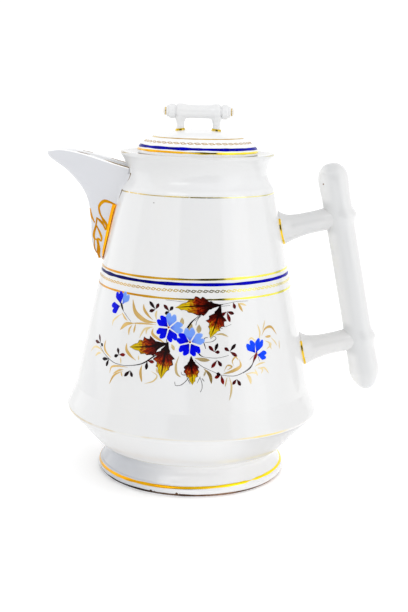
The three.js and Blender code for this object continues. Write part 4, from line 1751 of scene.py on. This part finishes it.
def add_seam_shade(side, word):
    """Painted shade: a dark bead of gold along the wall's side of the joint, where the
    corner lies in shade.
    """
    steps = 32
    turns = [math.pi / 4 * k for k in range(8)]

    def section(i):
        z = lerp(134.9, 170.2, i / steps)
        corner, _, on_wall, outward = seam_corner(z, side, 1.5)
        along = (on_wall - corner).normalized()
        middle = corner + outward * 0.30 + along * 0.40
        size = 0.42 * smoothstep(min(i, steps - i), -2, 3)
        made = []
        for turn in turns:
            spot = middle + outward * (size * math.sin(turn))
            made.append(spot + along * (size * math.cos(turn)))
        return made

    add_swept(f"gilt_seam_shade_{word}", steps, section, painted_shade_gold, sharp=80)


def add_groove_shade(side, name, low, high, wide):
    """Painted shade in the groove above the line, between two heights: a strip of dark
    worn gold where the groove lies in shade.
    """
    steps = 16
    cross = ((-1, -0.3), (-1, 0.03), (0, 0.14), (1, 0.03), (1, -0.3))

    def section(i):
        place = seam_corner(lerp(low, high, i / steps), side, 2.9)[2]
        outward = Vector((place.x, place.y, 0)).normalized()
        along = Vector((-outward.y * side, outward.x * side, 0))
        size = wide * (0.12 + 0.88 * smoothstep(i, 0, 15))
        return [place + along * (across * size) + outward * lift for across, lift in cross]

    add_swept(name, steps, section, painted_groove_shade, sharp=80)


def add_spout_fillet(side, word):
    """The hollow fillet of slip where the spout runs into the shoulder and the neck."""
    steps = 30
    last = 8

    def section(i):
        z = lerp(shoulder_z - 13.0, lip_z - 13.1, i / steps)
        size = 2.4 * smoothstep(i, 0, 14) + 0.4
        corner, on_side, on_wall, outward = seam_corner(z, side, size)
        made = []
        for k in range(last + 1):
            lift = 0.03 if 0 < k < last else -0.05
            made.append(bend(on_side, corner, on_wall, k / last) + outward * lift)
        return [*made, corner - outward * 0.9]

    add_swept(f"glazed_fillet_{word}", steps, section, shaded_spout_white, "pot", "porcelain", sharp=80)


def add_handle_rings():
    """A gilt band round the root of each arm, which starts where the arm leaves the cone."""
    width = 1.1
    top = ((-0.5, 0.05), (0.0, 0.12), (width - 0.3, 0.12), (width, 0.02))
    cross = (*top, (width, -0.3), (-0.5, -0.3))
    facets = 96
    line = arm_line()
    for word, drop in KNUCKLES:
        axes = arm_axes(drop)
        wall = cone_radius(axes[0].z)
        sections = []
        for k in range(facets):
            angle = 2 * math.pi * k / facets
            beside = arm_base_radius * math.cos(angle)
            seam = (math.sqrt(wall**2 - beside**2) - wall) * math.cos(cone_tilt)
            sunk = 0.3 * smoothstep(math.sin(angle), 0.55, 0.75)
            section = []
            for further, lift in cross:
                along = seam + further
                half = [along_line(line, 0, i, along) for i in (1, 2, 3)]
                section.append(arm_spot(axes, along, angle, half, lift - sunk))
            sections.append(section)
        add_piece(f"gilt_ring_{word}_arm", looped(sections), arm_gold)


def on_foot(u, lean, lift):
    """A place on the foot's bead, u millimetres round from the front, at a slope in degrees."""
    spot, out = curved(bead_centre, foot_bead, lean)(0)
    spot = spot + out * lift
    return around(u / foot_radius, spot.x, spot.y)


def add_foot_chips():
    """Small chips in the glaze along the foot's edge."""
    chips = Paint(on_foot, 0.05)
    large = ((-24.0, 1.7, 20.0), (-7.6, 1.6, 24.0))
    small = ((-21.5, 0.9, 12.0), (-5.6, 0.9, 12.0))
    for u, wide, tall in (*large, *small):
        chips.dot((u, -27.0 + tall / 3), wide, tall)
    chips.finish("bare_foot_chips", clay, "bare_foot")


def add_pits():
    """Two pinholes in the glaze, one on the cone and one on the stick."""
    pits = Paint(on_cone, 0.04)
    pits.dot((-25.7, 175.6), 0.7, 0.55)
    pits.finish("bare_pit_cone", clay, "bare_foot")
    drop = 17.4
    stick_surface = 9.66
    out = Vector((-0.75, -0.66, 0)).normalized()
    start = grip_point(drop) + out * stick_surface
    outline = [(0, -0.3), (0.45, -0.3), (0.45, 0.0), (0.25, 0.08), (0, 0.1)]
    pit = turned(outline, 16, along_to(start, start + out))
    add_piece("bare_pit_stick", pit, clay, "pot", "bare_foot", sharp=60)


def add_knob_gilding():
    """A gilt ring round the foot of each post and a gilt button on each end of the bar."""
    ring = [(2.2, -0.5, 0), (3.1, -0.5, 0), (2.95, 0.8, 0.2), (2.7, 1.1, 0.1), (2.2, 1.1, 0)]
    right = [(1.0, -1.9), (2.2, -1.75), (2.52, -1.3), (2.36, -0.6), (1.45, -0.05), (0, 0.03)]
    left = [(1.5, -2.9), (3.0, -2.75), (2.45, -1.9), *right[1:]]
    for (side, word), cap in zip(ENDS, (left, right)):
        foot = Matrix.Translation((side * post_x, 0, dome_height(post_x)))
        leaning = foot @ Matrix.Rotation(side * dome_slope(post_x), 4, "Y")
        band = turned(rounded(ring, 4), SMALL_FACETS, leaning)
        add_piece(f"gilt_post_ring_{word}", band, post_gold, "lid", sharp=60)
        outline = [(r, knob_end + z) for r, z in (*cap, (0, cap[0][1]))]
        button = turned(outline, SMALL_FACETS, lying(side))
        add_piece(f"gilt_button_{word}", button, button_gold, "lid", sharp=60)


def add_bands():
    tilt = math.degrees(cone_tilt)

    def cone_ring(name, z, width, material, slot="gilding", **more):
        place = straight((cone_radius(z), z), tilt)
        painted_ring(name, place, width, material, slot, **more)

    def lid_ring(name, radius, width, material, slot="gilding", **more):
        place = straight((radius, dome_height(radius)), 90 - math.degrees(dome_slope(radius)))
        painted_ring(name, place, width, material, slot, "lid", **more)

    def bead_ring(name, lean, width, material, slot="gilding", **more):
        painted_ring(name, curved(bead_centre, foot_bead, lean), width, material, slot, **more)

    cone_ring("gold_line_upper", upper_line_z, 1.3, line_gold, tilt=0.75)
    cone_ring("blue_band_body", blue_band_z, 1.85, body_cobalt, "blue_enamel", tilt=0.15)
    cone_ring("gold_line_lower", lower_line_z, 1.15, line_gold)
    cone_ring("gold_line_shoulder", shoulder_line_z, 0.7, pale_gold, wobble=0.15)
    on_break = straight((radius_at(break_z + 1.2), break_z + 1.2), 3)
    painted_ring("gold_line_break", on_break, 1.0, trace_gold, wobble=0.2)
    on_waist = straight((foot_top_radius + 1.7, waist_z + 0.55), -60)
    painted_ring("gold_line_waist", on_waist, 1.9, trace_gold)
    bead_ring("gold_line_foot", 38, 1.75, foot_gold, wobble=0.12, tilt=0.95, thin=(40,))
    bead_ring("bare_foot_edge", -37, 2.0, clay, "bare_foot", raised=0.05, tilt=-0.3)
    on_lip = curved((lip_radius - 0.8, lip_z - 0.8), 0.8, 45)
    painted_ring("gold_line_lip", on_lip, 1.1, worn_gold, part=(57, 303))
    on_lid_edge = straight((lid_radius, lid_z + 2.2), 0)
    painted_ring("gold_line_lid_base", on_lid_edge, 1.3, lid_base_gold, body="lid", tilt=-0.3)
    lid_ring("blue_band_lid", lid_band_radius, 2.0, cobalt, "blue_enamel", tilt=-0.25)
    lid_ring("gold_line_lid", lid_line_radius, 1.25, lid_gold)


add_body()
add_spout()
add_grip()
for (word, drop), glaze in zip(KNUCKLES, (shaded_upper_arm_white, shaded_lower_arm_white)):
    add_arm(word, drop, glaze)
add_lid()
add_bands()
add_chain("gilt_chain_body", on_cone, chain_z, cone_radius(chain_z), 108, chain_gold, "pot")
add_chain("gilt_chain_lid", on_lid, lid_chain_radius, lid_chain_radius, 48, lid_chain_gold, "lid")
add_scrolls()
add_stems()
add_leaves()
add_sprigs()
add_flowers()
for add in (add_spout_scrolls, add_seam_line, add_rim_line, add_seam_shade, add_spout_fillet):
    for side, word in SIDES:
        add(side, word)
# Painted shade in the grooves beside the spout, under the shoulder and under the neck.
for side, word in SIDES:
    add_groove_shade(side, f"shaded_groove_shoulder_{word}", shoulder_z - 7.0, shoulder_z - 0.4, 1.0)
    add_groove_shade(side, f"shaded_groove_neck_{word}", lip_z - 17.5, lip_z - 12.4, 0.8)
add_foot_chips()
add_pits()
add_handle_rings()
add_knob_gilding()


# Floor, light and camera


def sheet(name, corners, material):
    """A flat sheet, in metres in the frame."""
    mesh = bpy.data.meshes.new(name)
    mesh.from_pydata(corners, [], [tuple(range(len(corners)))])
    mesh.materials.append(material)
    made = bpy.data.objects.new(name, mesh)
    bpy.context.scene.collection.objects.link(made)
    return made


def add_floor():
    """A wide white table that glows more on the side of the handle."""
    n = Nodes("white_table")
    glow = n.between(n.axis("X"), -0.12, 0.10, 0.16, 0.40)
    white_table = n.set(colour=grey(0.9), roughness=0.6, light=grey(1.0), glow=glow)
    reach = 6.0
    corners = [(-reach, -reach, 0), (reach, -reach, 0), (reach, reach, 0), (-reach, reach, 0)]
    floor = sheet("floor", corners, white_table)


def add_card(name, corners, brightness, distance):
    """A card that only glossy surfaces see. Its corners are (azimuth, elevation) in degrees from
    the middle of the pot, azimuth from the front towards the handle."""
    middle = Vector((pot_axis, 0, 120.0)) * MM
    places = []
    for azimuth, elevation in corners:
        a = math.radians(azimuth)
        e = math.radians(elevation)
        way = Vector((math.sin(a) * math.cos(e), -math.cos(a) * math.cos(e), math.sin(e)))
        places.append(middle + way * distance)
    n = Nodes(name)
    look = n.set(colour=grey(0.0), roughness=1.0, shine=0.0, light=grey(1.0), glow=brightness)
    card = sheet(name, places, look)
    card.visible_camera = False
    card.visible_diffuse = False
    card.visible_transmission = False
    card.visible_shadow = False


def pane(left, right, low=-6, high=60):
    return [(left, low), (right, low), (right, high), (left, high)]


def add_cards():
    """Bright windows either side and a dark room between them, which the glaze reflects."""
    dark = [(12, -6), (37, -6), (36, 27), (-24, 27), (-20, 14), (-10, 8)]
    edge = [(38, -6), (50, -6), (50, 60), (10, 60), (10, 29), (37, 29)]
    add_card("dark_room", dark, 0.01, 1.5)
    for name, corners, brightness in (
        ("window_edge", edge, 1.25),
        ("window_right", pane(50, 75), 1.8),
        ("window_far_right", pane(76, 125), 1.2),
        ("window_left", pane(-135, -82), 1.7),
        ("lamp_left", pane(-46, -12, 31, 41), 3.2),
    ):
        add_card(name, corners, brightness, 1.6)


def add_area(name, place, target, size, power):
    data = bpy.data.lights.new(name, "AREA")
    data.shape = "RECTANGLE"
    data.size, data.size_y = size
    data.energy = power
    light = bpy.data.objects.new(name, data)
    light.location = place
    light.rotation_euler = (Vector(target) - Vector(place)).to_track_quat("-Z", "Y").to_euler()
    bpy.context.scene.collection.objects.link(light)


def add_world():
    """White surroundings, slightly brighter on the side of the spout."""
    spout_side_light = 1.09
    handle_side_light = 1.06
    world = bpy.data.worlds.new("studio")
    bpy.context.scene.world = world
    world.use_nodes = True
    tree = world.node_tree
    background = tree.nodes["Background"]
    place = tree.nodes.new("ShaderNodeTexCoord")
    split = tree.nodes.new("ShaderNodeSeparateXYZ")
    graded = tree.nodes.new("ShaderNodeMapRange")
    tree.links.new(place.outputs["Generated"], split.inputs[0])
    tree.links.new(split.outputs["X"], graded.inputs[0])
    reach = (-1.0, 1.0, spout_side_light, handle_side_light)
    for socket, number in zip(graded.inputs[1:5], reach):
        socket.default_value = number
    tree.links.new(graded.outputs[0], background.inputs["Strength"])
    background.inputs["Color"].default_value = (1, 1, 1, 1)


def add_camera():
    """The photograph's camera: its lens, how far it looks down and leans, and its place."""
    data = bpy.data.cameras.new("camera")
    data.lens = 61.76
    data.sensor_width = 36.0
    data.sensor_fit = "AUTO"
    down = 11.97
    roll = 1.403
    place = Vector((pot_axis * MM + 0.0062, -0.6554, 0.2446))
    pitch = Matrix.Rotation(math.radians(90 - down), 4, "X")
    lean = Matrix.Rotation(math.radians(roll), 4, "Z")
    camera = bpy.data.objects.new("camera", data)
    camera.matrix_world = Matrix.Translation(place) @ pitch @ lean
    bpy.context.scene.collection.objects.link(camera)
    bpy.context.scene.camera = camera


add_floor()
add_cards()
add_world()
add_area("key", (0.9, -0.9, 1.3), (0, 0, 0.1), (0.9, 0.9), 1.3)
add_camera()
bpy.context.scene.view_settings.view_transform = "Standard"
